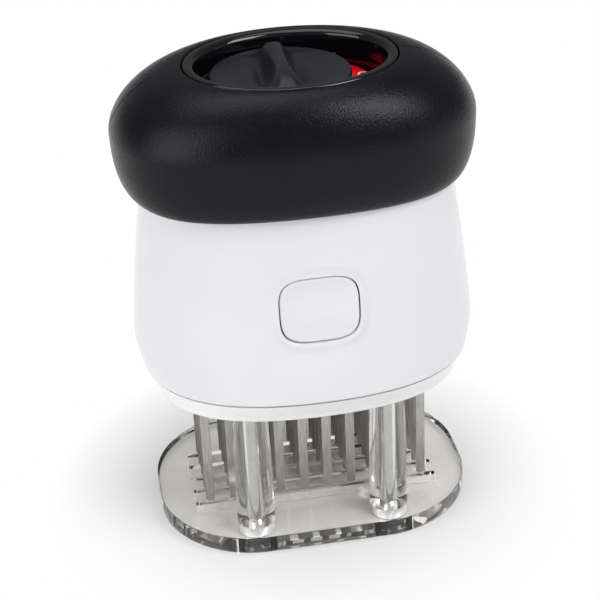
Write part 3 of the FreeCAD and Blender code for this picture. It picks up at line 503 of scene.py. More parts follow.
def parting_turns(count):
    """Even turns, with extra columns close to the parting line at both ends."""
    fine = np.array([0.05, 0.1, 0.16, 0.22, 0.3, 0.45, 0.7]) / SWELL["y"]
    extra = np.concatenate([spot + sign * fine for spot in (0, 2) for sign in (-1, 1)])
    return np.unique(np.round(np.concatenate([even_turns(count), extra % 4]), 6))


def make_grip():
    outer = swell_profile(0, 60)
    edge, seat, sole = 0.7, 2.2, 0.9
    roll = [(z + NECK["level"] + edge, x + NECK["x"] - edge, x + NECK["y"] - edge, NECK["power"])
            for x, z in bend((0, 0), edge, 200, 290, 5)]
    lip = [(RIM["level"] - edge + z, RIM["x"] + edge - x, RIM["y"] + edge - x, RIM["power"])
           for x, z in bend((0, 0), edge, 80, 10, 6)]
    keep = outer[(outer[:, 0] > NECK["level"] + edge / 2) & (outer[:, 1] > RIM["x"] + edge)]
    inner = swell_profile(SKIN, 14)[::-1]
    inner = inner[inner[:, 1] > RIM["x"] + 0.5]
    wall = [(RIM["level"] - seat, RIM["x"], RIM["y"], RIM["power"])]
    foot = [(NECK["level"] + sole, NECK["x"] - SKIN, NECK["y"] - SKIN, NECK["power"])]
    sections = np.concatenate([roll, keep, lip, wall, inner, foot])
    turns = parting_turns(560)
    points = swept(sections, turns)
    shown = slice(0, len(roll) + len(keep))
    depth, width = 0.16, 0.2
    groove = depth * np.exp(-(points[shown, :, 1] / width) ** 2)
    points[shown, :, 0] -= np.sign(points[shown, :, 0]) * groove
    points[shown, :, 2] -= 0.5 * groove * (sections[shown, 0] > SWELL["level"])[:, None]
    grip = to_object("soft_grip", points, grid_faces(len(sections), len(turns), True, True))
    wear(grip, "grip_cover")


make_grip()

# %% [markdown]
# ## Bezel ring and dish
# The gloss ring frames the well. Its top is slightly rounded and both edges are radiused, which draws the
# thin bright lines that mark it in the light. The dish below is one moulding: flange, wall, floor and hub.

# %% Bezel ring and dish
RING = dict(gap=0.3, width=3.6, height=4.5)
OUT_X, OUT_Y = RIM["x"] - RING["gap"], RIM["y"] - RING["gap"]
IN_X, IN_Y = OUT_X - RING["width"], OUT_Y - RING["width"]
KNOB = dict(x=KNOB_AXIS, radius=21.9, level=151.8, thick=3.4)
WINDOW = dict(half_angle=43, inner=18.9, outer=34.0, margin=0.15)
FLOOR, FLOOR_LOW = 148.0, 146.3


def make_ring():
    low, top = RIM["level"] - RING["height"], RIM["level"]
    tight, wide = 0.7, 1.9
    outer_edge = bend((-tight, top - tight), tight, 0, 85, 8)
    inner_edge = bend((-RING["width"] + wide, top - wide), wide, 95, 180, 14)
    crown = [(-1.2, top)]
    outline = np.concatenate([[(0, low)], outer_edge, crown, inner_edge, [(-RING["width"], low)]])
    sections = [(z, OUT_X + inset, OUT_Y + inset, RIM["power"]) for inset, z in outline]
    wear(ring_piece("gloss_bezel", sections, even_turns(320)), "bezel_ring")


def window_outline():
    """A sector about the knob's axis, drawn in where it would reach past the dish's wall."""
    spread = np.radians(np.linspace(-WINDOW["half_angle"], WINDOW["half_angle"], 48))
    outer, inner = (np.stack([KNOB["x"] + r * np.cos(spread), r * np.sin(spread)], axis=1)
                    for r in (WINDOW["outer"], WINDOW["inner"]))
    sector = np.concatenate([outer, inner[::-1]])
    room = np.array([IN_X, IN_Y]) - WINDOW["margin"]
    past = ((np.abs(sector) / room) ** RIM["power"]).sum(axis=1) ** (1 / RIM["power"])
    return sector / np.maximum(1, past)[:, None]


def make_dish():
    low = RIM["level"] - RING["height"]
    fillet, hub, thick, flange = 1.2, 4.25, 1.8, 1.9
    sections = [(low, OUT_X, OUT_Y, RIM["power"]), (low, IN_X, IN_Y, RIM["power"])]
    sections += [(z, IN_X - x, IN_Y - x, RIM["power"])
                 for x, z in bend((fillet, FLOOR + fillet), fillet, 180, 270, 7)]
    for part in (0.4, 0.75, 1.0):
        sections.append((FLOOR, IN_X - fillet + (hub - IN_X + fillet) * part,
                         IN_Y - fillet + (hub - IN_Y + fillet) * part,
                         RIM["power"] + (2 - RIM["power"]) * part, KNOB["x"] * part))
    sections += [(FLOOR_LOW, hub, hub, 2, KNOB["x"]),
                 (FLOOR_LOW, IN_X + thick, IN_Y + thick, RIM["power"]),
                 (low - flange, IN_X + thick, IN_Y + thick, RIM["power"]),
                 (low - flange, OUT_X, OUT_Y, RIM["power"])]
    dish = ring_piece("gloss_dish", sections, even_turns(256))
    cutter = prism_of("window_cutter", window_outline(), FLOOR_LOW - 1, FLOOR + 1)
    wear(cut_away(dish, cutter), "well_dish")


def prism_of(name, flat, low, high):
    """A straight block whose floor and roof are the same flat outline."""
    flat = np.asarray(flat, float)
    points = np.concatenate([np.column_stack([flat, np.full(len(flat), z)]) for z in (low, high)])
    return to_object(name, points, capped_faces(2, len(flat)))


make_ring()
make_dish()

# %% [markdown]
# ## The lock knob
# A round disc with a dished scoop for a finger on each side and a tall ridge between them. The top is a
# height field on a polar grid: disc plus ridge minus scoops, each a smooth formula, so they melt into each
# other as on a moulded part.


# %% The lock knob
RIDGE = dict(height=4.65, half=4.1, flare=1.5, waist=0.75, steep=2.1, ease=0.9)
SCOOP = dict(dish=1.3, trough=2.0)


def ridge_height(x, y):
    """Height of the ridge over the disc: crest / (1 + (|x| / half)^(2 steep)). The crest runs down to the
    front foot and to the back, half narrows at the waist and flares at the foot, and steep eases there."""
    place = y / KNOB["radius"]
    front = np.clip((-place - 0.34) / 0.62, 0, 1)
    back = np.clip((place - 0.56) / 0.22, 0, 1)
    waist = np.exp(-((place + 0.05) / 0.4) ** 2)
    flare = np.clip((-place - 0.25) / 0.65, 0, 1) ** 1.3
    half = RIDGE["half"] + RIDGE["flare"] * flare - RIDGE["waist"] * waist
    crest = RIDGE["height"] * (1 - front ** 2.4) * (1 - back ** 2.2)
    steep = RIDGE["steep"] - RIDGE["ease"] * front
    return crest / (1 + (np.abs(x) / half) ** (2 * steep))


def scoop_depth(x, y):
    """Depth of the two finger scoops: a broad dish, and a trough close to the ridge."""
    side = np.abs(x)
    dish = np.exp(-((side - 9.5) / 7.0) ** 2 - (y / 13.5) ** 2) * np.clip((side - 2.0) / 4, 0, 1)
    trough = np.exp(-((side - 5.2) / 2.4) ** 2 - (y / 12.0) ** 2)
    return SCOOP["dish"] * dish + SCOOP["trough"] * trough


def make_knob():
    edge, bore, rows, columns = 0.9, 3.3, 150, 360
    radius = (KNOB["radius"] - edge) * np.linspace(0.002, 1, rows) ** 0.85
    turn = np.linspace(0, 2 * math.pi, columns, endpoint=False)
    x, y = radius[:, None] * np.cos(turn), radius[:, None] * np.sin(turn)
    fade = np.clip((KNOB["radius"] - radius) / 3.0, 0, 1)[:, None]
    z = KNOB["level"] + (ridge_height(x, y) - scoop_depth(x, y)) * fade ** 0.6
    low = np.full(columns, KNOB["level"] - KNOB["thick"])
    skirts = [(KNOB["radius"] - edge + across, z[-1] - edge + drop)
              for across, drop in bend((0, 0), edge, 75, 0, 6)] + [(KNOB["radius"], low), (bore, low)]
    top = np.stack([KNOB["x"] + x, y, z], axis=-1)
    sides = [np.stack([KNOB["x"] + r * np.cos(turn), r * np.sin(turn), level], axis=-1)
             for r, level in skirts]
    points = np.concatenate([top, np.array(sides)])
    wear(to_object("lock_knob_cap", points, capped_faces(len(points), columns)), "lock_knob")


make_knob()

# %% [markdown]
# ## Status disc and pictograms
# The disc turns with the knob under a window in the dish. Unlocked shows red with an open padlock, locked
# shows grey with a closed one. The pictograms are thin raised prints of two shapes: a bow and a body.

# %% Status disc and pictograms
DISC_TOP, DISC_RADIUS = 145.3, 30.0


def padlock(name, centre, turn, opened):
    """A generic padlock: a bow as half a ring band, and a body with rounded corners."""
    outer, inner, spring, drop, half_body, corner = 1.75, 1.1, 1.6, 1.3, (2.4, 1.5), 0.5
    lift = 0.9 if opened else 0.0
    arc = np.radians(np.linspace(0, 180, 24))
    bow_out, bow_in = (np.stack([r * np.cos(arc), spring + lift + r * np.sin(arc)], axis=1)
                       for r in (outer, inner))
    bow = np.concatenate([[(outer, 0)], bow_out, [(-outer, lift), (-inner, lift)], bow_in[::-1],
                          [(inner, 0)]])
    c, s = math.cos(turn), math.sin(turn)
    meshes = []
    for flat in (bow, rounded_box((0, -drop), half_body, corner, 6)):
        spun = np.stack([centre[0] + flat[:, 0] * c - flat[:, 1] * s,
                         centre[1] + flat[:, 0] * s + flat[:, 1] * c], axis=1)
        meshes.append(prism_of(name, spun, DISC_TOP - 0.02, DISC_TOP + 0.06))
    return join(meshes, name)


def join(objects, name):
    """One object from several, all at the origin."""
    work = bmesh.new()
    for item in objects:
        work.from_mesh(item.data)
    mesh = bpy.data.meshes.new(name)
    work.to_mesh(mesh)
    work.free()
    for item in objects:
        bpy.data.objects.remove(item)
    soften(mesh)
    made = bpy.data.objects.new(name, mesh)
    bpy.context.collection.objects.link(made)
    return made


def make_status_disc():
    gauge, bore, edge = 1.5, 4.1, 0.2
    low = DISC_TOP - gauge
    outline = [(low, bore), (low, DISC_RADIUS - edge), (low + edge, DISC_RADIUS),
               (DISC_TOP - edge, DISC_RADIUS), (DISC_TOP, DISC_RADIUS - edge), (DISC_TOP, bore)]
    sections = [(z, r, r, 2, KNOB["x"]) for z, r in outline]
    wear(ring_piece("status_disc_print", sections, even_turns(200)), "status_disc")
    reach, ahead = 27.5, math.radians(10)
    marks = {"padlock_open": (0.0, True), "padlock_closed": (math.pi / 2, False)}
    for name, (turn, opened) in marks.items():
        centre = (KNOB["x"] + reach * math.cos(turn + ahead), reach * math.sin(turn + ahead))
        mark = padlock(name, centre, turn, opened)
        mark.data.materials.append(PICTOGRAM)
        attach(mark, "knob")


make_status_disc()

# %% [markdown]
# ## The white housing
# The shell flares downwards to the seam. Its sections ease from the widest level to the neck, and a smooth
# curve passes through them. Round each button the grid gives way to a patch whose loops grow from the
# button's outline to a rectangle, so the raised lip and the opening's rounded edge follow the outline.

# %% Housing surface
SEAM = dict(level=58.6, x=53.5, y=42.5, power=2.4)
WIDE = dict(level=67.0, x=55.0, y=41.2, taper_x=1.33, taper_y=0.92)
BUTTON = dict(x=12.2, z=10.0, level=88.5, power=3.6, gap=0.35, dish=1.4, proud=0.12, depth=4.5)
WALL, CEILING = 2.0, 2.4


def housing_table():
    """Sections of level, half_x, half_y, power: the same easing that the CAD sections follow."""
    rows = [(SEAM["level"], SEAM["x"], SEAM["y"], SEAM["power"])]
    for part in (0.0, 0.22, 0.45, 0.72, 1.0):
        rows.append((WIDE["level"] + (NECK["level"] - WIDE["level"]) * part,
                     WIDE["x"] - (WIDE["x"] - NECK["x"]) * part ** WIDE["taper_x"],
                     WIDE["y"] - (WIDE["y"] - NECK["y"]) * part ** WIDE["taper_y"],
                     SEAM["power"] + (NECK["power"] - SEAM["power"]) * part))
    return np.array(rows)


def smooth_through(at, knots, values):
    """Cubic through the knots whose slopes are those of the parabola through each three."""
    slope = np.gradient(values, knots)
    spot = np.clip(np.searchsorted(knots, at, side="right") - 1, 0, len(knots) - 2)
    span = knots[spot + 1] - knots[spot]
    u = (at - knots[spot]) / span
    return ((1 + 2 * u) * (1 - u) ** 2 * values[spot] + u * (1 - u) ** 2 * span * slope[spot]
            + u ** 2 * (3 - 2 * u) * values[spot + 1] + u ** 2 * (u - 1) * span * slope[spot + 1])


TABLE = housing_table()


def housing_at(z):
    """Half_x, half_y and power of the housing at any level."""
    return tuple(smooth_through(z, TABLE[:, 0], TABLE[:, k]) for k in (1, 2, 3))


def turn_at(share, reach):
    """Turn on the quarter arc at which its first coordinate is share, by halving."""
    low, high = np.zeros_like(share), np.ones_like(share)
    for _ in range(34):
        middle = (low + high) / 2
        beyond = quarter(middle, reach)[0] > share
        low, high = np.where(beyond, middle, low), np.where(beyond, high, middle)
    return low


def side_depth(x, z, inset=0.0):
    """Distance of the skin from the middle plane at x and z."""
    half_x, half_y, power = housing_at(z)
    reach = reach_of(power)
    return (half_y - inset) * quarter(turn_at(np.abs(x) / (half_x - inset), reach), reach)[1]


def button_radius(dx, dz, grow=0.0):
    """How far out a point lies: 1 on the button's outline grown by grow, less inside it."""
    return ((np.abs(dx) / (BUTTON["x"] + grow)) ** BUTTON["power"]
            + (np.abs(dz) / (BUTTON["z"] + grow)) ** BUTTON["power"]) ** (1 / BUTTON["power"])


# %% Housing mesh
PATCH_X, PATCH_LOW, PATCH_HIGH = 20.0, 72.7, 102.7


def lip_rise(distance):
    """The lip: a soft swell that peaks 0.7 mm outside the opening and fades over 3 mm."""
    return 0.6 * np.exp(-((distance - 0.7) / 1.5) ** 2)


def skin_rows(levels, inset, columns_x, side_turns):
    """Rows of the shell: front columns at fixed x, then side, rear, side."""
    half_x, half_y, power = (v[:, None] for v in housing_at(levels))
    x = np.broadcast_to(columns_x[None, :], (len(levels), len(columns_x)))
    z = np.broadcast_to(levels[:, None], x.shape)
    depth = side_depth(x, z, inset)
    front = np.stack([x, -depth, z], axis=-1)
    rear = np.stack([x[:, ::-1], depth[:, ::-1], z], axis=-1)
    reach = reach_of(power)
    span = turn_at(PATCH_X / (half_x - inset), reach) * (1 - 2 * side_turns[None, :])
    across, upward = quarter(np.abs(span), reach)
    side = np.stack([(half_x - inset) * across, -(half_y - inset) * upward * np.sign(span),
                     np.broadcast_to(levels[:, None], span.shape)], axis=-1)
    return np.concatenate([front, side, rear, side * (-1, -1, 1)], axis=1)


def patch_rectangle(columns_x, levels):
    """Points round the patch's rectangle, in order, shared with the main grid."""
    bottom = [(x, levels[0]) for x in columns_x[:-1]]
    right_ = [(columns_x[-1], z) for z in levels[:-1]]
    top = [(x, levels[-1]) for x in columns_x[:0:-1]]
    left = [(columns_x[0], z) for z in levels[:0:-1]]
    return np.array(bottom + right_ + top + left)


def opening_patch(side, rectangle):
    """Loops from the rectangle in to the opening's rounded edge, through the wall and out again."""
    centre = np.array([0, BUTTON["level"]])
    ray = rectangle - centre
    rim = ray / button_radius(*ray.T, BUTTON["gap"])[:, None]
    outward = rim / np.linalg.norm(rim, axis=1)[:, None]
    room = np.linalg.norm(ray - rim, axis=1)[:, None]
    loops = []
    edge = 0.45
    for part in np.linspace(1, 0, 26) ** 1.7:
        distance = edge + (room - edge) * part
        flat = centre + rim + outward * distance
        loops.append((flat, side_depth(*flat.T) + lip_rise(distance[:, 0]) * min(1, (1 - part) * 4)))
    shoulder = loops[-1][1]
    for turn in np.radians(np.linspace(15, 90, 6)):
        flat = centre + rim + outward * edge * (1 - math.sin(turn))
        loops.append((flat, shoulder - edge * (1 - math.cos(turn))))
    for part in (0.0, 0.5, 1.0):
        flat = centre + rim + outward * room * part
        loops.append((flat, side_depth(*flat.T, WALL)))
    return np.array([np.column_stack([flat[:, 0], side * depth, flat[:, 1]]) for flat, depth in loops])


def make_housing():
    spindle_bore, inner_top, mean_half = 5.6, 114.8, 50
    columns_x = np.linspace(-PATCH_X, PATCH_X, 61)
    side_turns = np.linspace(0, 1, 82)[1:-1]
    patch = np.linspace(PATCH_LOW, PATCH_HIGH, 41)
    rounding = np.array([0.0, 0.08, 0.25, 0.5])
    lower = np.concatenate([SEAM["level"] + rounding, np.linspace(60.0, PATCH_LOW, 14)[:-1]])
    outer_levels = np.concatenate([lower, patch, np.linspace(PATCH_HIGH, NECK["level"], 16)[1:]])
    outer = skin_rows(outer_levels, 0.0, columns_x, side_turns)
    tuck = np.concatenate([rounding[::-1], np.zeros(len(outer_levels) - len(rounding))])
    outer[..., :2] *= 1 - tuck[:, None, None] / mean_half
    inner_high = np.linspace(inner_top, PATCH_HIGH, 5)[:-1]
    inner_levels = np.concatenate([inner_high, patch[::-1], np.linspace(PATCH_LOW, SEAM["level"], 6)[1:]])
    inner = skin_rows(inner_levels, WALL, columns_x, side_turns)
    count = outer.shape[1]
    turn = np.arctan2(outer[0, :, 1], outer[0, :, 0])
    bore = np.stack([KNOB["x"] + spindle_bore * np.cos(turn), spindle_bore * np.sin(turn)], axis=-1)
    roof = [np.column_stack([bore, np.full(count, z)]) for z in (NECK["level"], NECK["level"] - CEILING)]
    rows = np.concatenate([outer, np.array(roof), inner])
    faces = grid_faces(len(rows), count, True, True).reshape(len(rows), count, 4)
    keep = np.ones((len(rows), count), bool)
    for first in (0, len(columns_x) + len(side_turns)):
        for low in (len(lower), len(outer) + len(roof) + len(inner_high)):
            keep[low:low + len(patch) - 1, first:first + len(columns_x) - 1] = False
    points, all_faces = [rows.reshape(-1, 3)], [faces[keep]]
    rectangle = patch_rectangle(columns_x, patch)
    for side in SIDES.values():
        loops = opening_patch(side, rectangle)
        start = sum(len(p) for p in points)
        points.append(loops.reshape(-1, 3))
        all_faces.append(grid_faces(len(loops), len(rectangle), False, True) + start)
    shell = to_object("white_housing", np.concatenate(points), np.concatenate(all_faces), merge=0.002)
    wear(shell, "housing")


make_housing()

# %% [markdown]
# ## Release buttons
# A button is a cap with a shallow dish for the fingertip. Its face follows the housing's own curve, sunk by
# the dish formula, and turns over a small radius into straight sides that slide in the opening.


# %% Release buttons
def make_button(name, side):
    """The dish sinks the face by depth * (1 - part^2.4), where part is the share of the way to the rim."""
    centre = np.array([0, BUTTON["level"]])
    turn = np.linspace(0, 2 * math.pi, 240, endpoint=False)
    ray = np.column_stack([np.cos(turn), np.sin(turn)])
    rim = ray / button_radius(*ray.T)[:, None]
    outward = rim / np.linalg.norm(rim, axis=1)[:, None]
    edge = 0.7
    loops = []
    for part in np.linspace(0.01, 1, 42):
        flat = centre + (rim - outward * edge) * part
        loops.append((flat, side_depth(*flat.T) - BUTTON["dish"] * (1 - part ** 2.4) + BUTTON["proud"]))
    shoulder = loops[-1][1]
    for angle in np.radians(np.linspace(15, 90, 6)):
        flat = centre + rim - outward * edge * (1 - math.sin(angle))
        loops.append((flat, shoulder - edge * (1 - math.cos(angle))))
    back = side_depth(*centre[:, None])[0] - BUTTON["depth"]
    loops += [(centre + rim * part, np.full(len(rim), back)) for part in (1, 0.02)]
    points = np.array([np.column_stack([flat[:, 0], side * depth, flat[:, 1]]) for flat, depth in loops])
    cap = to_object(f"button_cap_{name}", points, capped_faces(*points.shape[:2]))
    wear(cap, f"release_button_{name}")


for button_name, button_side in SIDES.items():
    make_button(button_name, button_side)

# %% [markdown]
# ## The skirt tray
# A warmer white tray closes the housing below the seam and tucks in to a rounded bottom edge. It is
# modelled as one closed wall with a floor, and then the blade slots and the post bores are cut through, as
# the mould's cores do.

# %% The skirt tray
SKIRT = dict(bottom=49.3, x=49.5, y=36.5, power=2.5, floor=2.4, wall=2.0, upstand=66.0)
PLATE = dict(x=52.0, y=38.0, low=0.4, high=6.9, corner=32.5, round=1.5, bore=6.2)
POST = dict(x=22.3, y=26.4, base=6.4, top=5.5, bore=1.73, foot=6.93, head=61.4)
ROW_PITCH, ROWS, PITCH, COLUMNS = 7.2, 5, 8.0, 10
SLOT_HALF, SLOT_CORNER = (PITCH * (COLUMNS - 1) / 2 + 5.0, 1.0), 0.35
ROW_Y = [ROW_PITCH * (row - (ROWS - 1) / 2) for row in range(ROWS)]


def slot_cutters(low, high):
    """A straight cutter for each row of blades."""
    return [prism_of("slot_cutter", rounded_box((0, y), SLOT_HALF, SLOT_CORNER, 4), low, high)
            for y in ROW_Y]


def circle_outline(x, y, radius):
    turn = np.linspace(0, 2 * math.pi, 64, endpoint=False)
    return np.column_stack([x + radius * np.cos(turn), y + radius * np.sin(turn)])


def make_skirt():
    tuck = 2.4
    edge = [(SKIRT["bottom"] + tuck + z, SKIRT["x"] + 0.7 - tuck + x, SKIRT["y"] + 1.2 - tuck + x,
             SKIRT["power"]) for x, z in bend((0, 0), tuck, 272, 352, 9)]
    top = (SEAM["level"] - 0.9, SEAM["x"] - 0.8, SEAM["y"] - 0.9, SEAM["power"])
    band = along([edge[-1], top], 8)[1:]
    shoulder = [(top[0], top[1] - 0.3, top[2] - 0.3, top[3])]
    room_x, room_y, room_low = 50.7, 39.0, 56.0
    upstand = [(top[0], room_x, room_y, SEAM["power"]), (SKIRT["upstand"], room_x, room_y, SEAM["power"]),
               (SKIRT["upstand"], room_x - SKIRT["wall"], room_y - SKIRT["wall"], SEAM["power"]),
               (room_low, room_x - SKIRT["wall"], room_y - SKIRT["wall"], SEAM["power"]),
               (SKIRT["bottom"] + SKIRT["floor"], SKIRT["x"] - 3, SKIRT["y"] - 3, SKIRT["power"])]
    sections, turns = np.concatenate([edge, band, shoulder, upstand]), even_turns(320)
    tray = to_object("skirt_band", swept(sections, turns), capped_faces(len(sections), len(turns)))
    low = SKIRT["bottom"] - 2
    cutters = slot_cutters(low, SKIRT["bottom"] + SKIRT["floor"] + 2)
    cutters += [prism_of("bore_cutter", circle_outline(sx * POST["x"], sy * POST["y"], POST["base"] + 0.25),
                         low, SKIRT["upstand"] + 1) for sx, sy in CORNERS.values()]
    wear(cut_away(tray, join(cutters, "tray_cutters")), "skirt_tray")


make_skirt()

# %% [markdown]
# ## The clear foot
# The foot plate's outline is a rectangle with big corner arcs. Its lower edge is rounded and its upper edge
# almost crisp, as the photograph's edge reflections show. Blade slots and post bores are cut through it.


# %% The clear foot
AXIS = 0.01  # a turned outline ends this far off its axis, where a small flat closes it


def make_plate():
    edge, crisp = PLATE["round"], 0.25
    rows = [(PLATE["low"] + edge + z, edge - x) for x, z in bend((0, 0), edge, 270, 360, 8)]
    rows += [(PLATE["high"] - crisp + z, crisp - x) for x, z in bend((0, 0), crisp, 0, 90, 4)]
    flats = [rounded_box((0, 0), (PLATE["x"] - inset, PLATE["y"] - inset), PLATE["corner"] - inset, 40)
             for _, inset in rows]
    points = np.array([np.column_stack([flat, np.full(len(flat), z)]) for flat, (z, _) in zip(flats, rows)])
    plate = to_object("clear_foot", points, capped_faces(*points.shape[:2]))
    low, high = -1, PLATE["high"] + 1
    bore = [(AXIS, low), (PLATE["bore"], low), (PLATE["bore"], high), (AXIS, high)]
    cutters = slot_cutters(low, high) + [revolved("bore_cutter", bore, sx * POST["x"], sy * POST["y"])
                                         for sx, sy in CORNERS.values()]
    wear(cut_away(plate, join(cutters, "plate_cutters")), "foot_plate")


def revolved(name, outline, x, y, count=96):
    """A turned piece: rows of radius and level swept round its own axis. An outline that ends at the axis
    gets a flat at each end, and any other closes on itself."""
    turn = np.linspace(0, 2 * math.pi, count, endpoint=False)
    outline = np.asarray(outline, float)
    points = np.stack([x + outline[:, :1] * np.cos(turn), y + outline[:, :1] * np.sin(turn),
                       np.broadcast_to(outline[:, 1:2], (len(outline), count))], axis=-1)
    hollow = outline[[0, -1], 0].min() > AXIS
    faces = grid_faces(len(outline), count, True, True) if hollow else capped_faces(len(outline), count)
    return to_object(name, points, faces)


make_plate()

# %% [markdown]
# ## Posts
# Each post is a clear drafted sleeve round a polished rod. The sleeve bends the rod's image and shows bright
# rims, so both are turned pieces with small radii at their ends. A rubber foot sits under each one.


# %% Posts
def make_posts():
    """Outlines are rows of radius and level, the same for all four posts."""
    edge, thin, head, washer, rubber = 0.3, 1.65, 2.6, 5.9, 6.1
    bore, foot, top = POST["bore"], POST["foot"], POST["head"]
    sleeve = [(bore, foot)]
    sleeve += [(POST["base"] - edge + dx, foot + edge + dz) for dx, dz in bend((0, 0), edge, 270, 360, 5)]
    sleeve += [(POST["top"] - edge + dx, top - edge + dz) for dx, dz in bend((0, 0), edge, 0, 90, 5)]
    sleeve += [(bore, top)]
    rod = [(AXIS, 1.2), (head, 1.2), (head, 2.0), (thin, 2.0), (thin, 6.2), (washer, 6.2), (washer, 6.75),
           (thin, 6.8), (thin, 66.1), (thin - edge, 66.4), (AXIS, 66.4)]
    ring = [(2.68, 0.0), (rubber - 0.4, 0.0), (rubber, 0.4), (rubber, 5.1), (rubber - 0.5, 5.6), (1.75, 5.6),
            (1.75, 2.08), (2.68, 2.08)]
    for corner, (sx, sy) in CORNERS.items():
        x, y = sx * POST["x"], sy * POST["y"]
        wear(revolved(f"sleeve_{corner}", sleeve, x, y), f"post_sleeve_{corner}")
        wear(revolved(f"rod_{corner}", rod, x, y), f"post_rod_{corner}")
        wear(revolved(f"foot_ring_{corner}", ring, x, y, 72), f"rubber_foot_{corner}")


make_posts()

# %% [markdown]
# ## Blades
# Ten narrow blades hang from one spine in each strip. A blade's outline has rounded tip corners, and the
# sheet's edges are broken by a tenth of a millimetre, so each edge catches a line of light. The tip is
# ground thin from one side.


# %% Blades
BLADE = dict(half=1.5, corner=0.9, tip=7.9, root=54.5, half_gauge=0.3, broken=0.08, grind=1.6, ground=-0.18)
SPINE_LOW, SPINE_HIGH = 53.8, 58.8


def blade_shape(x):
    """Front outline of one blade, from its root down one side, round the tip and up again."""
    half, corner, low = BLADE["half"], BLADE["corner"], BLADE["tip"] + BLADE["corner"]
    return np.concatenate([[(x - half, BLADE["root"])], bend((x - half + corner, low), corner, 180, 270, 6),
                           bend((x + half - corner, low), corner, 270, 360, 6), [(x + half, BLADE["root"])]])


def make_blade(x, y):
    """Four outlines across the sheet: the outer two are drawn in for the broken edges, and the rear two
    come forward towards the tip, where the blade is ground."""
    half, broken, ground = BLADE["half_gauge"], BLADE["broken"], BLADE["ground"]
    flat = blade_shape(x)
    middle = flat.mean(axis=0)
    small = middle + (flat - middle) * (1 - broken / np.abs(flat - middle).max(axis=0))
    thin = np.clip((flat[:, 1] - BLADE["tip"]) / BLADE["grind"], 0, 1)
    rows = []
    for outline, depth in ((small, -half), (flat, -half + broken), (flat, half - broken), (small, half)):
        pressed = ground + (depth - ground) * thin if depth > 0 else np.full(len(flat), depth)
        rows.append(np.column_stack([outline[:, 0], y + pressed, outline[:, 1]]))
    return to_object("blade", np.array(rows), capped_faces(len(rows), len(flat)))


def make_blades():
    span, half = PITCH * (COLUMNS - 1) / 2, BLADE["half_gauge"]
    for number, y in enumerate(ROW_Y, 1):
        solids = [make_blade(PITCH * column - span, y) for column in range(COLUMNS)]
        end = span + BLADE["half"]
        spine = [(-end, y - half), (end, y - half), (end, y + half), (-end, y + half)]
        solids.append(prism_of("spine", spine, SPINE_LOW, SPINE_HIGH))
        wear(join(solids, f"blade_strip_{number}"), f"blade_row_{number}")


make_blades()

# %% [markdown]
# ## Springs
# The CAD springs are six-sided, which shows when the handle is off. Round wire is a circle carried along
# the same helix, square to its climb.


# %% Springs
def make_spring(node, radius, wire, turns, length, start, axis):
    """A circle of wire carried along a helix; axis is the spring's direction, start its foot."""
    steps, sides = turns * 40, 12
    rise = length - wire
    turn = np.linspace(0, 2 * math.pi * turns, steps)[:, None]
    slope = math.atan2(rise / turns, 2 * math.pi * radius)
    angle = np.linspace(0, 2 * math.pi, sides, endpoint=False)[None, :]
    out, climb = wire / 2 * np.cos(angle), wire / 2 * np.sin(angle)
    u = (radius + out) * np.cos(turn) + climb * np.sin(turn) * math.sin(slope)
    v = (radius + out) * np.sin(turn) - climb * np.cos(turn) * math.sin(slope)
    w = wire / 2 + rise * turn / (2 * math.pi * turns) + climb * math.cos(slope)
    frame_of = np.array(Vector(axis).to_track_quat("Z", "Y").to_matrix())
    points = np.stack([u, v, w], axis=-1) @ frame_of.T + np.array(start)
    wear(to_object(node + "_wire", points, capped_faces(steps, sides)), node)


for spring_name, spring_side in (("left", -1), ("right", 1)):
    make_spring(f"main_spring_{spring_name}", 6.0, 1.2, 9, 48.5, (spring_side * 26, 0, 64.45), (0, 0, 1))

# %% [markdown]
# ## Floor and light
# A plain white sweep stands in for the photographer's table. A key lamp at the right front draws the sheen
# on the grip, wide lamps overhead and on the left and a weak one on the right light the rest, and the world
# is dim.
# In the photo the table is burnt out to white round the tool. So rays that reach the eye see the floor as
# pure white, which fades to a plainly lit surface under the foot, where the shadow lies. The floor is only
# a stage: it isn't part of the tool.


# %% Floor and light
def seen_ray(tree, mirrored):
    """1 for rays from the camera, through clear plastic and, if wanted, off a mirror; 0 for light's own."""
    path = add(tree, "ShaderNodeLightPath")
    seen = path.outputs["Is Camera Ray"]
    for kind in ("Is Transmission Ray", "Is Glossy Ray")[:2 if mirrored else 1]:
        seen = add(tree, "ShaderNodeMath", {"operation": "MAXIMUM"}, _0=seen,
                   _1=path.outputs[kind]).outputs["Value"]
    return seen


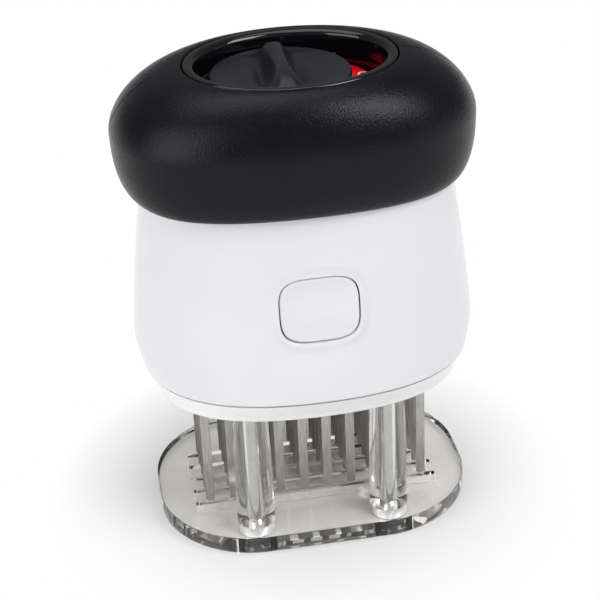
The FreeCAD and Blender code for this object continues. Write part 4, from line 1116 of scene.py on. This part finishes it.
def make_floor():
    half, shadow_edge, white_edge = 3.0, 0.052, 0.09
    mesh = bpy.data.meshes.new("studio_floor")
    corners = [(-half, -half, 0), (half, -half, 0), (half, half, 0), (-half, half, 0)]
    mesh.from_pydata(corners, [], [(0, 1, 2, 3)])
    floor = bpy.data.objects.new("studio_floor", mesh)
    bpy.context.collection.objects.link(floor)
    material, tree, shader = new_material("white_table", {"Roughness": 0.6, "Specular IOR Level": 0.2})
    shader.inputs["Base Color"].default_value = linear("#FAFAFA")
    distance = add(tree, "ShaderNodeVectorMath", {"operation": "LENGTH"}, _0=place_of(tree))
    fade = add(tree, "ShaderNodeMapRange", {"From Min": shadow_edge, "From Max": white_edge, "To Min": 0.05,
                                            "To Max": 1.0}, Value=distance.outputs["Value"])
    share = add(tree, "ShaderNodeMath", {"operation": "MULTIPLY"}, _0=seen_ray(tree, True),
                _1=fade.outputs["Result"])
    glow = add(tree, "ShaderNodeEmission", {"Strength": 1.0})
    mix = add(tree, "ShaderNodeMixShader", _0=share.outputs["Value"], _1=shader.outputs["BSDF"],
              _2=glow.outputs["Emission"])
    tree.links.new(mix.outputs["Shader"], tree.nodes["Material Output"].inputs["Surface"])
    mesh.materials.append(material)


def soft_lamp(name, place, aim, width, height, power):
    light = bpy.data.lights.new(name, "AREA")
    light.shape, light.size, light.size_y, light.energy = "RECTANGLE", width, height, power
    lamp = bpy.data.objects.new(name, light)
    lamp.location = place
    lamp.rotation_euler = (Vector(aim) - Vector(place)).to_track_quat("-Z", "Y").to_euler()
    bpy.context.collection.objects.link(lamp)


def make_world():
    world = bpy.data.worlds.new("studio_world")
    bpy.context.scene.world = world
    world.use_nodes = True
    tree = world.node_tree
    dim, dim_strength = tree.nodes["Background"], 0.20
    dim.inputs["Color"].default_value = (1, 1, 1, 1)
    dim.inputs["Strength"].default_value = dim_strength
    white = add(tree, "ShaderNodeBackground", {"Color": (1, 1, 1, 1), "Strength": 1.0})
    mix = add(tree, "ShaderNodeMixShader", _0=seen_ray(tree, False), _1=dim.outputs["Background"],
              _2=white.outputs["Background"])
    tree.links.new(mix.outputs["Shader"], tree.nodes["World Output"].inputs["Surface"])


make_floor()
make_world()
CENTRE = (0, 0, 0.09)
soft_lamp("lamp_key", (0.62, -0.53, 0.92), CENTRE, 0.55, 0.55, 7.0)
soft_lamp("lamp_overhead", (-0.15, 0.10, 1.35), CENTRE, 1.1, 1.1, 7.0)
soft_lamp("lamp_left", (-0.95, -0.55, 0.45), CENTRE, 0.9, 0.9, 6.3)
soft_lamp("lamp_right", (0.95, -0.40, 0.20), CENTRE, 0.5, 0.4, 0.3)
